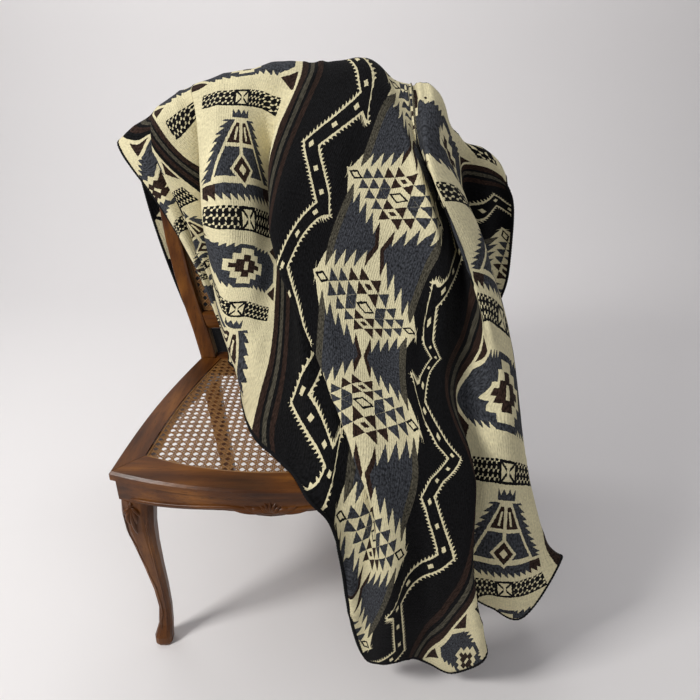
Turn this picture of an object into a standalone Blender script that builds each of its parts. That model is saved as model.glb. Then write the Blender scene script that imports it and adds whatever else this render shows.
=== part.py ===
"""A woven alpaca blanket draped over the back and seat of a carved side chair, in metres, +Z up.

The chair is built plain, of its rails, legs, posts and cane panels. The blanket is one sheet that
hangs behind the back, passes over the crest rail, runs down in folds to the seat's front edge and
falls from there almost to the floor. Its shape comes from the table FOLDS, a row for each fold line.
"""
import math
from collections import namedtuple

import bmesh
import bpy
from mathutils import Vector

GAP = 0.0003

# Seat
SEAT_TOP = 0.439
SEAT_FRONT_Y = -0.2255
SEAT_REAR_Y = 0.205
SEAT_FRONT_HALF = 0.2775
SEAT_REAR_HALF = 0.217
SEAT_BOW = 0.050
SEAT_SIDE_BULGE = 0.012
RAIL_WIDTH = 0.048
RAIL_LIP_HEIGHT = 0.020
RAIL_LIP_STEP = 0.006
APRON_DEPTH = 0.062
APRON_RISE = 0.014
REAR_RAIL_DEPTH = 0.035
CANE_THICKNESS = 0.003
CANE_SINK = 0.0025

# Legs
LEG_SIDES = 12
FRONT_LEG_IN = 0.034
REAR_FOOT_Y = 0.262

# Back
BACK_LEAN = 0.24
POST_HALF_X = 0.018
POST_HALF_Y = 0.017
POST_TOP = 0.930
CREST_END_Z = 0.900
CREST_ARCH = 0.120
CREST_HALF = 0.022
LOWER_RAIL_Z = 0.520
LOWER_RAIL_HALF = 0.020

# Blanket
CLOTH_THICKNESS = 0.003
CLOTH_ON_SEAT = SEAT_TOP + 0.0019
CREST_Y = 0.362
SHOULDER_FRONT = 0.046
SHOULDER_REAR = 0.036
SHOULDER_DROP = 0.018
BACK_Y = 0.418
BACK_WAVE = 0.024
BACK_TURN = 1.05
LOW_STEPS = 13
HIGH_STEPS = 18
BACK_STEPS = 12
STEPS_BETWEEN_FOLDS = 2

# Depth of the cloth's front where it leans all the way out, from the crest to the floor.
LeanPoint = namedtuple("LeanPoint", "z y")
FULL_LEAN = (
    LeanPoint(1.07, 0.345),
    LeanPoint(1.00, 0.262),
    LeanPoint(0.90, 0.152),
    LeanPoint(0.75, 0.000),
    LeanPoint(0.60, -0.148),
    LeanPoint(0.47, -0.272),
    LeanPoint(0.44, -0.302),
    LeanPoint(0.40, -0.312),
    LeanPoint(0.30, -0.314),
    LeanPoint(0.00, -0.302),
)

# The heights at which a fold line's x is given, between its crest and its front hem.
STATIONS = (0.90, 0.75, 0.60, 0.47, 0.30)
KNEE = 0.47

# One row for each fold line, from the left side hem to the right one.
# crest: x and z on top of the chair's back.  x90 to x30: x at each of STATIONS.
# hem: x and z of the front end.  lean: how far out it comes, near the top and at the seat.
# lift: stand-off from its neighbours, near the top and low down.  back: x and z of the rear end.
Fold = namedtuple("Fold", "name crest x90 x75 x60 x47 x30 hem lean lift back")
FOLDS = (
    Fold("left hem", (-0.366, 0.906), -0.362, -0.258, -0.186, -0.150, -0.145, (-0.145, CLOTH_ON_SEAT),
         (0.36, 0.27), (0.000, 0.000), (-0.252, 0.31)),
    Fold("left layer", (-0.330, 0.935), -0.312, -0.236, -0.176, -0.138, -0.133, (-0.133, CLOTH_ON_SEAT),
         (0.40, 0.30), (0.010, 0.000), (-0.238, 0.29)),
    Fold("left step under", (-0.300, 0.957), -0.272, -0.205, -0.152, -0.120, -0.115, (-0.115, CLOTH_ON_SEAT),
         (0.36, 0.31), (-0.008, 0.000), (-0.220, 0.30)),
    Fold("left step edge", (-0.280, 0.976), -0.276, -0.212, -0.154, -0.118, -0.112, (-0.112, CLOTH_ON_SEAT),
         (0.46, 0.34), (0.012, 0.000), (-0.200, 0.31)),
    Fold("left inner layer", (-0.240, 0.998), -0.215, -0.172, -0.130, -0.100, -0.096, (-0.096, CLOTH_ON_SEAT),
         (0.42, 0.34), (0.004, 0.000), (-0.172, 0.30)),
    Fold("tuck behind ridge", (-0.207, 1.012), -0.160, -0.144, -0.110, -0.080, -0.076, (-0.076, CLOTH_ON_SEAT),
         (0.36, 0.33), (-0.014, 0.000), (-0.146, 0.31)),
    Fold("ridge left edge", (-0.190, 1.020), -0.179, -0.167, -0.139, -0.105, -0.098, (-0.098, CLOTH_ON_SEAT),
         (0.52, 0.45), (0.006, 0.000), (-0.120, 0.30)),
    Fold("ridge crown", (-0.142, 1.034), -0.135, -0.126, -0.108, -0.082, -0.068, (-0.068, CLOTH_ON_SEAT),
         (0.66, 0.62), (0.030, 0.016), (-0.100, 0.32)),
    Fold("ridge right flank", (-0.098, 1.044), -0.072, -0.062, -0.060, -0.048, -0.036, (-0.036, CLOTH_ON_SEAT),
         (0.66, 0.74), (0.010, 0.006), (-0.075, 0.33)),
    Fold("stripes", (-0.066, 1.048), -0.040, -0.024, -0.018, -0.012, 0.000, (0.000, CLOTH_ON_SEAT),
         (0.60, 0.82), (-0.030, 0.000), (-0.045, 0.32)),
    Fold("lobe left", (-0.040, 1.055), -0.026, -0.008, 0.027, 0.032, 0.036, (0.036, CLOTH_ON_SEAT),
         (0.62, 0.90), (-0.040, 0.000), (-0.020, 0.34)),
    Fold("lobe middle", (-0.030, 1.057), -0.022, -0.002, 0.048, 0.062, 0.068, (0.068, CLOTH_ON_SEAT),
         (0.65, 1.00), (-0.043, 0.000), (-0.008, 0.345)),
    Fold("lobe right", (-0.020, 1.058), -0.018, 0.004, 0.070, 0.090, 0.100, (0.100, 0.405),
         (0.68, 1.00), (-0.045, -0.002), (0.005, 0.35)),
    Fold("lower hem upper", (-0.006, 1.059), -0.013, 0.012, 0.096, 0.122, 0.120, (0.117, 0.330),
         (0.74, 1.00), (-0.045, -0.004), (0.020, 0.37)),
    Fold("lower hem middle", (0.006, 1.060), -0.011, 0.018, 0.112, 0.150, 0.135, (0.134, 0.180),
         (0.80, 1.00), (-0.045, -0.006), (0.035, 0.38)),
    Fold("valley", (0.018, 1.060), -0.008, 0.022, 0.120, 0.172, 0.160, (0.158, 0.072),
         (0.86, 1.00), (-0.040, -0.010), (0.050, 0.39)),
    Fold("panel edge", (0.036, 1.060), -0.022, -0.002, 0.086, 0.152, 0.184, (0.186, 0.082),
         (1.00, 1.00), (0.000, 0.012), (0.065, 0.38)),
    Fold("panel left", (0.080, 1.061), 0.040, 0.060, 0.124, 0.178, 0.204, (0.212, 0.092),
         (1.02, 1.00), (0.010, 0.016), (0.095, 0.40)),
    Fold("panel centre", (0.128, 1.063), 0.120, 0.130, 0.165, 0.208, 0.228, (0.246, 0.085),
         (1.01, 1.00), (0.008, 0.002), (0.130, 0.42)),
    Fold("panel right", (0.168, 1.064), 0.190, 0.200, 0.208, 0.240, 0.252, (0.280, 0.058),
         (1.00, 1.00), (-0.006, -0.006), (0.170, 0.43)),
    Fold("black right", (0.196, 1.048), 0.236, 0.260, 0.246, 0.276, 0.284, (0.325, 0.045),
         (1.00, 1.00), (-0.010, 0.004), (0.200, 0.45)),
    Fold("black right edge", (0.220, 1.024), 0.251, 0.297, 0.290, 0.332, 0.334, (0.374, 0.120),
         (0.99, 1.00), (-0.004, 0.018), (0.220, 0.46)),
    Fold("tuck under black", (0.239, 1.016), 0.260, 0.315, 0.322, 0.312, 0.308, (0.346, 0.170),
         (0.94, 0.95), (-0.014, -0.026), (0.240, 0.47)),
    Fold("cream panel left", (0.256, 1.013), 0.269, 0.334, 0.350, 0.338, 0.350, (0.395, 0.150),
         (0.87, 0.93), (-0.020, -0.010), (0.252, 0.48)),
    Fold("cream panel", (0.272, 1.014), 0.277, 0.344, 0.372, 0.382, 0.412, (0.452, 0.140),
         (0.93, 0.92), (-0.004, 0.010), (0.275, 0.49)),
    Fold("right fold edge", (0.291, 1.016), 0.280, 0.335, 0.396, 0.424, 0.476, (0.518, 0.250),
         (1.03, 0.87), (0.018, 0.004), (0.295, 0.50)),
    Fold("turned back", (0.313, 1.008), 0.308, 0.380, 0.426, 0.444, 0.482, (0.507, 0.150),
         (0.90, 0.76), (0.000, 0.000), (0.310, 0.51)),
    Fold("outer layer", (0.332, 0.985), 0.322, 0.392, 0.440, 0.464, 0.476, (0.476, 0.095),
         (0.60, 0.56), (0.000, 0.000), (0.328, 0.53)),
    Fold("side wall", (0.352, 0.932), 0.346, 0.386, 0.412, 0.434, 0.440, (0.440, 0.300),
         (0.30, 0.32), (0.000, 0.000), (0.350, 0.56)),
    Fold("back right inner", (0.385, 0.898), 0.385, 0.388, 0.396, 0.402, 0.405, (0.405, 0.470),
         (0.08, 0.10), (0.000, 0.000), (0.375, 0.60)),
    Fold("back right middle", (0.430, 0.885), 0.430, 0.440, 0.440, 0.440, 0.440, (0.440, 0.510),
         (0.10, 0.04), (0.018, 0.010), (0.410, 0.64)),
    Fold("back right outer", (0.468, 0.857), 0.470, 0.482, 0.482, 0.475, 0.475, (0.475, 0.525),
         (0.07, 0.03), (-0.006, 0.000), (0.445, 0.67)),
    Fold("right hem", (0.488, 0.825), 0.490, 0.506, 0.512, 0.502, 0.502, (0.502, 0.535),
         (0.06, 0.02), (0.008, 0.006), (0.465, 0.69)),
)

# Front leg, from its top down: height, shift along the corner's diagonal, half width.
LegRing = namedtuple("LegRing", "z outward half")
FRONT_LEG = (
    LegRing(0.345, 0.004, 0.029),
    LegRing(0.310, 0.006, 0.026),
    LegRing(0.260, 0.002, 0.021),
    LegRing(0.200, -0.004, 0.017),
    LegRing(0.140, -0.010, 0.014),
    LegRing(0.085, -0.012, 0.0125),
    LegRing(0.045, -0.007, 0.014),
    LegRing(0.020, 0.002, 0.0175),
    LegRing(0.006, 0.003, 0.0175),
    LegRing(0.000, 0.003, 0.0155),
)

# Rear post, from the floor up: height, x of its centre on the right side, shift in y from the seat's rear.
PostRing = namedtuple("PostRing", "z x")
REAR_POST = (
    PostRing(0.000, 0.186),
    PostRing(0.150, 0.192),
    PostRing(0.300, 0.198),
    PostRing(0.380, 0.199),
    PostRing(0.440, 0.199),
    PostRing(0.500, 0.214),
    PostRing(0.560, 0.232),
    PostRing(0.620, 0.248),
    PostRing(0.700, 0.264),
    PostRing(0.780, 0.275),
    PostRing(0.850, 0.278),
    PostRing(0.900, 0.276),
    PostRing(0.920, 0.276),
    PostRing(POST_TOP, 0.276),
)


def clear_scene():
    for item in list(bpy.data.objects):
        bpy.data.objects.remove(item, do_unlink=True)


def make_material(name, colour, roughness):
    material = bpy.data.materials.new(name)
    material.use_nodes = True
    shader = material.node_tree.nodes["Principled BSDF"]
    shader.inputs["Base Color"].default_value = (*colour, 1.0)
    shader.inputs["Roughness"].default_value = roughness
    shader.inputs["Metallic"].default_value = 0.0
    return material


def add_object(name, bm, collection, colour, roughness):
    bmesh.ops.recalc_face_normals(bm, faces=bm.faces)
    mesh = bpy.data.meshes.new(name)
    bm.to_mesh(mesh)
    bm.free()
    mesh.shade_smooth()
    mesh.set_sharp_from_angle(angle=math.radians(40))
    item = bpy.data.objects.new(name, mesh)
    mesh.materials.append(make_material(name, colour, roughness))
    collection.objects.link(item)
    return item


def smooth_step(value):
    value = min(1.0, max(0.0, value))
    return value * value * (3.0 - 2.0 * value)


def blend(table, height, column):
    """Reads a column of a table at a height, with straight lines between its rows."""
    rows = sorted(table, key=lambda row: row.z)
    if height <= rows[0].z:
        return getattr(rows[0], column)
    for low, high in zip(rows, rows[1:]):
        if height <= high.z:
            share = (height - low.z) / (high.z - low.z)
            return getattr(low, column) * (1.0 - share) + getattr(high, column) * share
    return getattr(rows[-1], column)


def curve_point(points, place):
    """A smooth curve through points, read at place, which counts points from 0."""
    last = len(points) - 1
    index = min(int(place), last - 1)
    share = place - index
    before = points[max(index - 1, 0)]
    start = points[index]
    end = points[index + 1]
    after = points[min(index + 2, last)]
    square = share * share
    cube = square * share
    return 0.5 * (
        2.0 * start
        + (end - before) * share
        + (2.0 * before - 5.0 * start + 4.0 * end - after) * square
        + (3.0 * start - before - 3.0 * end + after) * cube
    )


def even_points(points, knee, low_steps, high_steps):
    """The smooth curve through points, in steps of like length below the point numbered knee and above it."""
    fine = 12
    places = [step / fine for step in range((len(points) - 1) * fine + 1)]
    samples = [curve_point(points, place) for place in places]
    lengths = [0.0]
    for first, second in zip(samples, samples[1:]):
        lengths.append(lengths[-1] + (second - first).length)
    bend = lengths[knee * fine]
    targets = [bend * step / low_steps for step in range(low_steps)]
    targets += [bend + (lengths[-1] - bend) * step / high_steps for step in range(high_steps + 1)]
    result = []
    index = 0
    for target in targets:
        while index < len(lengths) - 2 and lengths[index + 1] < target:
            index += 1
        span = lengths[index + 1] - lengths[index]
        share = (target - lengths[index]) / span if span > 0.0 else 0.0
        result.append(samples[index].lerp(samples[index + 1], min(1.0, share)))
    return result


def rounded_ring(bm, centre, side, depth, half_side, half_depth, power=0.55):
    """A ring of vertices on a rounded rectangle, in the plane of the directions side and depth."""
    ring = []
    for step in range(LEG_SIDES):
        angle = 2.0 * math.pi * (step + 0.5) / LEG_SIDES
        across = math.copysign(abs(math.cos(angle)) ** power, math.cos(angle))
        along = math.copysign(abs(math.sin(angle)) ** power, math.sin(angle))
        ring.append(bm.verts.new(centre + side * half_side * across + depth * half_depth * along))
    return ring


def join_rings(bm, rings):
    """Sides between neighbouring rings, and a flat cap on each end."""
    for first, second in zip(rings, rings[1:]):
        for step in range(len(first)):
            following = (step + 1) % len(first)
            bm.faces.new((first[step], first[following], second[following], second[step]))
    bm.faces.new(rings[0])
    bm.faces.new(list(reversed(rings[-1])))


def side_outline(share, outward):
    """A point on the right side rail's top, from the front corner to the rear post."""
    y_outer = SEAT_FRONT_Y + (SEAT_REAR_Y - GAP - SEAT_FRONT_Y) * share
    bulge = SEAT_SIDE_BULGE * math.sin(math.pi * share)
    x_outer = SEAT_FRONT_HALF + (SEAT_REAR_HALF - SEAT_FRONT_HALF) * share + bulge
    inward = RAIL_WIDTH * (1.0 - outward)
    return Vector((x_outer - inward, y_outer + inward * (1.0 - share), 0.0))


def front_outline(share, outward):
    """A point on the front rail's top, from the left corner to the right one."""
    place = 2.0 * share - 1.0
    inward = RAIL_WIDTH * (1.0 - outward)
    y_outer = SEAT_FRONT_Y - SEAT_BOW * (1.0 - place * place)
    return Vector((place * (SEAT_FRONT_HALF - inward), y_outer + inward, 0.0))


def make_rail(name, outline, steps, apron, collection):
    """A seat rail: a lip along its top edge, and an apron whose lower edge rises between the legs."""
    bm = bmesh.new()
    rings = []
    for step in range(steps + 1):
        share = step / steps
        trim = GAP / 0.35
        place = min(1.0 - trim, max(trim, share))
        drop = APRON_DEPTH - APRON_RISE * apron(share)
        step_in = RAIL_LIP_STEP / RAIL_WIDTH
        section = (
            (1.0, 0.004),
            (1.0, RAIL_LIP_HEIGHT - 0.004),
            (1.0 - step_in, RAIL_LIP_HEIGHT),
            (1.0 - step_in, drop),
            (0.42, drop),
            (0.25, drop - 0.004),
            (0.0, RAIL_LIP_HEIGHT + 0.006),
            (0.0, 0.0),
            (1.0 - step_in * 0.6, 0.0),
        )
        ring = []
        for outward, down in section:
            point = outline(place, outward)
            point.z = SEAT_TOP - down
            ring.append(bm.verts.new(point))
        rings.append(ring)
    join_rings(bm, rings)
    return add_object(name, bm, collection, (0.23, 0.09, 0.035), 0.4)


def front_apron(share):
    """The serpentine of the front apron: low at the legs, high beside the middle drop."""
    wave = math.sin(math.pi * share) ** 2
    middle = math.exp(-((share - 0.5) / 0.09) ** 2)
    return 1.3 * wave * (1.0 - 0.75 * middle)


def side_apron(share):
    return math.sin(math.pi * share) ** 2


def make_seat_rails(collection):
    make_rail("rail_front", front_outline, 28, front_apron, collection)
    make_rail("rail_right", side_outline, 16, side_apron, collection)

    def left_outline(share, outward):
        point = side_outline(share, outward)
        point.x = -point.x
        return point

    make_rail("rail_left", left_outline, 16, side_apron, collection)


def make_rear_rail(collection):
    inner = REAR_POST[4].x - POST_HALF_X - GAP
    bm = bmesh.new()
    low = SEAT_TOP - APRON_DEPTH + APRON_RISE
    bmesh.ops.create_cube(bm, size=1.0)
    for vert in bm.verts:
        vert.co.x *= 2.0 * inner
        vert.co.y = SEAT_REAR_Y + REAR_RAIL_DEPTH * (vert.co.y + 0.5)
        vert.co.z = low + (SEAT_TOP - low) * (vert.co.z + 0.5)
    item = add_object("rail_rear", bm, collection, (0.23, 0.09, 0.035), 0.4)
    bevel = item.modifiers.new("rounded edges", "BEVEL")
    bevel.width = 0.003
    bevel.segments = 2


def make_seat_cane(collection):
    """The cane panel, which fills the rails' inner outline."""
    outline = []
    inset = -GAP * 2.0 / RAIL_WIDTH
    front_steps = 20
    for step in range(front_steps + 1):
        outline.append(front_outline(step / front_steps, inset))
    side_steps = 10
    right = [side_outline(step / side_steps, inset) for step in range(1, side_steps + 1)]
    outline.extend(right)
    outline.extend(Vector((-point.x, point.y, 0.0)) for point in reversed(right))
    bm = bmesh.new()
    top = SEAT_TOP - CANE_SINK
    upper = [bm.verts.new((point.x, point.y, top)) for point in outline]
    lower = [bm.verts.new((point.x, point.y, top - CANE_THICKNESS)) for point in outline]
    join_rings(bm, [upper, lower])
    add_object("cane_seat", bm, collection, (0.36, 0.19, 0.07), 0.55)


def make_front_leg(name, mirror, collection):
    """A cabriole leg under the seat's front corner, bowed along the corner's diagonal."""
    bm = bmesh.new()
    corner = Vector((mirror * (SEAT_FRONT_HALF - FRONT_LEG_IN), SEAT_FRONT_Y + FRONT_LEG_IN * 0.8, 0.0))
    diagonal = Vector((mirror * 0.55, -0.835, 0.0))
    side = Vector((1.0, 0.0, 0.0))
    depth = Vector((0.0, 1.0, 0.0))
    rings = []
    top = SEAT_TOP - APRON_DEPTH - GAP
    for row in (LegRing(top, 0.000, 0.029),) + FRONT_LEG:
        centre = corner + diagonal * row.outward
        centre.z = row.z
        rings.append(rounded_ring(bm, centre, side, depth, row.half, row.half, 0.7))
    join_rings(bm, rings)
    add_object(name, bm, collection, (0.23, 0.09, 0.035), 0.4)


def post_centre(height):
    """The centre of the right rear post at a height: it stands behind the seat and leans back above it."""
    x = blend(REAR_POST, height, "x")
    y = SEAT_REAR_Y + POST_HALF_Y + 0.002
    if height > SEAT_TOP:
        y += BACK_LEAN * (height - SEAT_TOP)
    else:
        y += (REAR_FOOT_Y - y) * (1.0 - smooth_step(height / 0.36))
    return Vector((x, y, height))


def make_post(name, mirror, collection):
    """A rear leg and the back's side post above it, in one piece."""
    bm = bmesh.new()
    side = Vector((1.0, 0.0, 0.0))
    depth = Vector((0.0, 1.0, 0.0))
    rings = []
    for row in REAR_POST:
        centre = post_centre(row.z)
        centre.x *= mirror
        half_x = POST_HALF_X
        half_y = POST_HALF_Y
        if row.z < 0.3:
            half_x = 0.0145 + 0.0035 * row.z / 0.3
            half_y = half_x
        if row.z == POST_TOP:
            half_x *= 0.72
            half_y *= 0.72
        rings.append(rounded_ring(bm, centre, side, depth, half_x, half_y, 0.3))
    join_rings(bm, rings)
    add_object(name, bm, collection, (0.23, 0.09, 0.035), 0.4)


def crest_height(x):
    """The centre of the arched crest rail above x."""
    half = blend(REAR_POST, CREST_END_Z, "x") - POST_HALF_X
    share = min(1.0, abs(x) / (half + 0.012))
    return CREST_END_Z + CREST_ARCH * math.sqrt(1.0 - share * share)


def inner_post_x(height):
    return blend(REAR_POST, height, "x") - POST_HALF_X - GAP


def back_y(height):
    return post_centre(height).y


def make_crest_rail(collection):
    bm = bmesh.new()
    half = inner_post_x(CREST_END_Z)
    steps = 24
    rings = []
    for step in range(steps + 1):
        angle = math.pi * (step / steps - 0.5)
        x = half * math.sin(angle)
        height = crest_height(x)
        centre = Vector((x, back_y(height), height))
        slope = math.atan2(crest_height(x + 0.002) - crest_height(x - 0.002), 0.004)
        tall = CREST_HALF / max(0.62, math.cos(slope))
        if step in (0, steps):
            tall = CREST_HALF * 1.25
        rings.append(rounded_ring(bm, centre, Vector((0.0, 1.0, 0.0)), Vector((0.0, 0.0, 1.0)),
                                  POST_HALF_Y, tall, 0.6))
    join_rings(bm, rings)
    add_object("rail_crest", bm, collection, (0.23, 0.09, 0.035), 0.4)


def make_lower_rail(collection):
    """The back's lower rail, whose ends follow the posts' sloping inner faces."""
    bm = bmesh.new()
    steps = 12
    rings = []
    for step in range(steps + 1):
        place = 2.0 * step / steps - 1.0
        ring = rounded_ring(bm, Vector((0.0, back_y(LOWER_RAIL_Z), LOWER_RAIL_Z)),
                            Vector((0.0, 1.0, 0.0)), Vector((0.0, 0.0, 1.0)),
                            POST_HALF_Y - 0.002, LOWER_RAIL_HALF, 0.6)
        for vert in ring:
            vert.co.x = place * inner_post_x(vert.co.z)
        rings.append(ring)
    join_rings(bm, rings)
    add_object("rail_lower", bm, collection, (0.23, 0.09, 0.035), 0.4)


def make_back_cane(collection):
    """The back's cane panel: it fills the frame and leans with it."""
    bm = bmesh.new()
    columns = 20
    rows = 12
    low = LOWER_RAIL_Z + LOWER_RAIL_HALF
    faces = []
    for layer in (-0.5, 0.5):
        grid = []
        for column in range(columns + 1):
            place = 2.0 * column / columns - 1.0
            line = []
            for row in range(rows + 1):
                share = row / rows
                x = place * inner_post_x(low)
                for _ in range(4):
                    slope = math.atan2(crest_height(x + 0.002) - crest_height(x - 0.002), 0.004)
                    tall = CREST_HALF * 1.25 / max(0.62, math.cos(slope))
                    high = crest_height(x) - tall - 0.0006
                    height = low + (high - low) * share
                    x = place * (inner_post_x(height) - 0.0006)
                y = back_y(height) + layer * CANE_THICKNESS
                line.append(bm.verts.new((x, y, height)))
            grid.append(line)
        faces.append(grid)
    near, far = faces
    for column in range(columns):
        for row in range(rows):
            for grid in (near, far):
                bm.faces.new((grid[column][row], grid[column + 1][row],
                              grid[column + 1][row + 1], grid[column][row + 1]))
    for column in range(columns):
        for row in (0, rows):
            bm.faces.new((near[column][row], near[column + 1][row], far[column + 1][row], far[column][row]))
    for row in range(rows):
        for column in (0, columns):
            bm.faces.new((near[column][row], near[column][row + 1], far[column][row + 1], far[column][row]))
    add_object("cane_back", bm, collection, (0.36, 0.19, 0.07), 0.55)


def front_point(fold, x, height, on_seat):
    """Where a fold line is at a height on its way from the crest to the front hem."""
    down = smooth_step((0.95 - height) / 0.50)
    lean = fold.lean[0] + (fold.lean[1] - fold.lean[0]) * down
    if on_seat:
        lean *= 0.93
    lift = fold.lift[0] + (fold.lift[1] - fold.lift[0]) * smooth_step((0.75 - height) / 0.35)
    near_crest = smooth_step((fold.crest[1] - height) / 0.10)
    full = blend(FULL_LEAN, height, "y")
    return Vector((x, CREST_Y + (full - CREST_Y) * lean - lift * near_crest, height))


def fold_line(fold, turn):
    """The points of one fold line, from its front hem over the crest to its rear hem."""
    crest_x, crest_z = fold.crest
    hem_x, hem_z = fold.hem
    rests = abs(hem_z - CLOTH_ON_SEAT) < 0.001
    front = [front_point(fold, hem_x, hem_z, False)]
    columns = (fold.x90, fold.x75, fold.x60, fold.x47, fold.x30)
    for height, x in sorted(zip(STATIONS, columns)):
        if hem_z + 0.015 < height < crest_z - 0.05:
            front.append(front_point(fold, x, height, rests and height < 0.5))
    shoulder = SHOULDER_FRONT * (0.35 + 0.65 * min(1.0, fold.lean[0] / 0.4))
    front.append(Vector((crest_x, CREST_Y - shoulder, crest_z - SHOULDER_DROP)))
    front.append(Vector((crest_x, CREST_Y, crest_z)))
    back_x, back_z = fold.back
    wave = BACK_WAVE * (math.sin(turn * BACK_TURN) + 0.5 * math.sin(turn * 0.43 + 1.0))
    rear = [Vector((crest_x, CREST_Y, crest_z))]
    rear.append(Vector((crest_x, CREST_Y + SHOULDER_REAR, crest_z - SHOULDER_DROP)))
    for share, swell in ((0.3, 0.4), (0.65, 0.8), (1.0, 1.0)):
        height = crest_z - 0.04 + (back_z - crest_z + 0.04) * share
        x = crest_x + (back_x - crest_x) * share ** 1.6
        rear.append(Vector((x, BACK_Y + 0.012 * share + wave * swell, height)))
    knee = next(number for number, point in enumerate(front) if number and point.z > KNEE - 0.001)
    half = BACK_STEPS // 2
    return even_points(front, knee, LOW_STEPS, HIGH_STEPS) + even_points(rear, 2, half, half)[1:]


def make_blanket(collection):
    lines = [fold_line(fold, float(turn)) for turn, fold in enumerate(FOLDS)]
    columns = (len(lines) - 1) * STEPS_BETWEEN_FOLDS
    bm = bmesh.new()
    grid = []
    for column in range(columns + 1):
        place = column / STEPS_BETWEEN_FOLDS
        grid.append([bm.verts.new(curve_point([line[step] for line in lines], place))
                     for step in range(len(lines[0]))])
    for first, second in zip(grid, grid[1:]):
        for step in range(len(first) - 1):
            bm.faces.new((first[step], second[step], second[step + 1], first[step + 1]))
    item = add_object("blanket", bm, collection, (0.10, 0.10, 0.09), 0.95)
    skin = item.modifiers.new("cloth thickness", "SOLIDIFY")
    skin.thickness = CLOTH_THICKNESS
    skin.offset = 0.0
    return item


def stand_on_origin(parent, collection):
    """Moves the parent so that the whole object stands on the origin, centred over it."""
    bpy.context.view_layer.update()
    graph = bpy.context.evaluated_depsgraph_get()
    corners = []
    for item in collection.objects:
        if item.type == "MESH":
            shape = item.evaluated_get(graph).data
            corners.extend(item.matrix_world @ vert.co for vert in shape.vertices)
    lowest = [min(corner[axis] for corner in corners) for axis in range(3)]
    highest = [max(corner[axis] for corner in corners) for axis in range(3)]
    middle = [(low + high) / 2.0 for low, high in zip(lowest, highest)]
    parent.location = (-middle[0], -middle[1], -lowest[2])


def build():
    clear_scene()
    collection = bpy.data.collections.new("alpaca_blanket_on_chair")
    bpy.context.scene.collection.children.link(collection)
    make_seat_rails(collection)
    make_rear_rail(collection)
    make_seat_cane(collection)
    make_front_leg("leg_front_left", -1.0, collection)
    make_front_leg("leg_front_right", 1.0, collection)
    make_post("post_left", -1.0, collection)
    make_post("post_right", 1.0, collection)
    make_crest_rail(collection)
    make_lower_rail(collection)
    make_back_cane(collection)
    make_blanket(collection)
    parent = bpy.data.objects.new("frame_origin", None)
    collection.objects.link(parent)
    for item in collection.objects:
        if item.type == "MESH":
            item.parent = parent
    stand_on_origin(parent, collection)


build()
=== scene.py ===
import functools
import math

import bpy
import numpy as np
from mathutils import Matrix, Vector, noise
from mathutils.bvhtree import BVHTree


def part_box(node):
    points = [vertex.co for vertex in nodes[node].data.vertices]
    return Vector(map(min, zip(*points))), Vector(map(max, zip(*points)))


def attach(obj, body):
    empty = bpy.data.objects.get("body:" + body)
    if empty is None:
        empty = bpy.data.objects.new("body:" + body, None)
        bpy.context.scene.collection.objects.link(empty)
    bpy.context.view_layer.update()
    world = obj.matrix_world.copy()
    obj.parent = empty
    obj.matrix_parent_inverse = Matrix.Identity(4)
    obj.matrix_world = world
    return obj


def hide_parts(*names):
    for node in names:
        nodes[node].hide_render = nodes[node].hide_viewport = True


# An alpaca blanket thrown over a cane side chair: looks only, the shapes under it come from the frame.
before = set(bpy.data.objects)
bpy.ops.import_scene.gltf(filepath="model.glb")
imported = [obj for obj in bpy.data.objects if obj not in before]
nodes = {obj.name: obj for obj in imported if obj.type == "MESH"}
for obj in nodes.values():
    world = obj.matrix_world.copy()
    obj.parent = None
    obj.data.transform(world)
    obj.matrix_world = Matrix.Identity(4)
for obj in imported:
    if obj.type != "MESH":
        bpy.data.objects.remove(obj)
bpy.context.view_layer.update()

railLow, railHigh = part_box("rail_rear")
seatDepth = 0.205  # from the chair's own zero to its rear rail
chairShift = Vector(((railLow[0] + railHigh[0]) / 2, railLow[1] - seatDepth, 0.0))


def linkPiece(name, data):
    piece = bpy.data.objects.new(name, data)
    bpy.context.scene.collection.objects.link(piece)
    return piece


def tubeAlong(name, points, radius, material, closed=False):
    # A round bead through the points; an open one thins out at its ends.
    curve = bpy.data.curves.new(name, "CURVE")
    curve.dimensions = "3D"
    curve.bevel_depth = radius
    curve.bevel_resolution = 2
    line = curve.splines.new("POLY")
    line.points.add(len(points) - 1)
    for index, (knot, place) in enumerate(zip(line.points, points)):
        knot.co = (*place, 1.0)
        fromEnd = min(index, len(points) - 1 - index)
        knot.radius = 1.0 if closed or fromEnd > 3 else 0.3 + 0.2 * fromEnd
    line.use_cyclic_u = closed
    curve.materials.append(material)
    return linkPiece(name, curve)


def surfaceOf(node):
    item = nodes[node]
    return BVHTree.FromPolygons([item.matrix_world @ v.co for v in item.data.vertices],
                                [tuple(p.vertices) for p in item.data.polygons])


def linkMesh(name, vertices, faces, *materials):
    mesh = bpy.data.meshes.new(name)
    mesh.from_pydata([tuple(v) for v in vertices], [], faces)
    mesh.update()
    for material in materials:
        mesh.materials.append(material)
    mesh.shade_smooth()
    return linkPiece(name, mesh)


# Sums on shader sockets, so that a woven chart reads like plain arithmetic.

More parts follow.
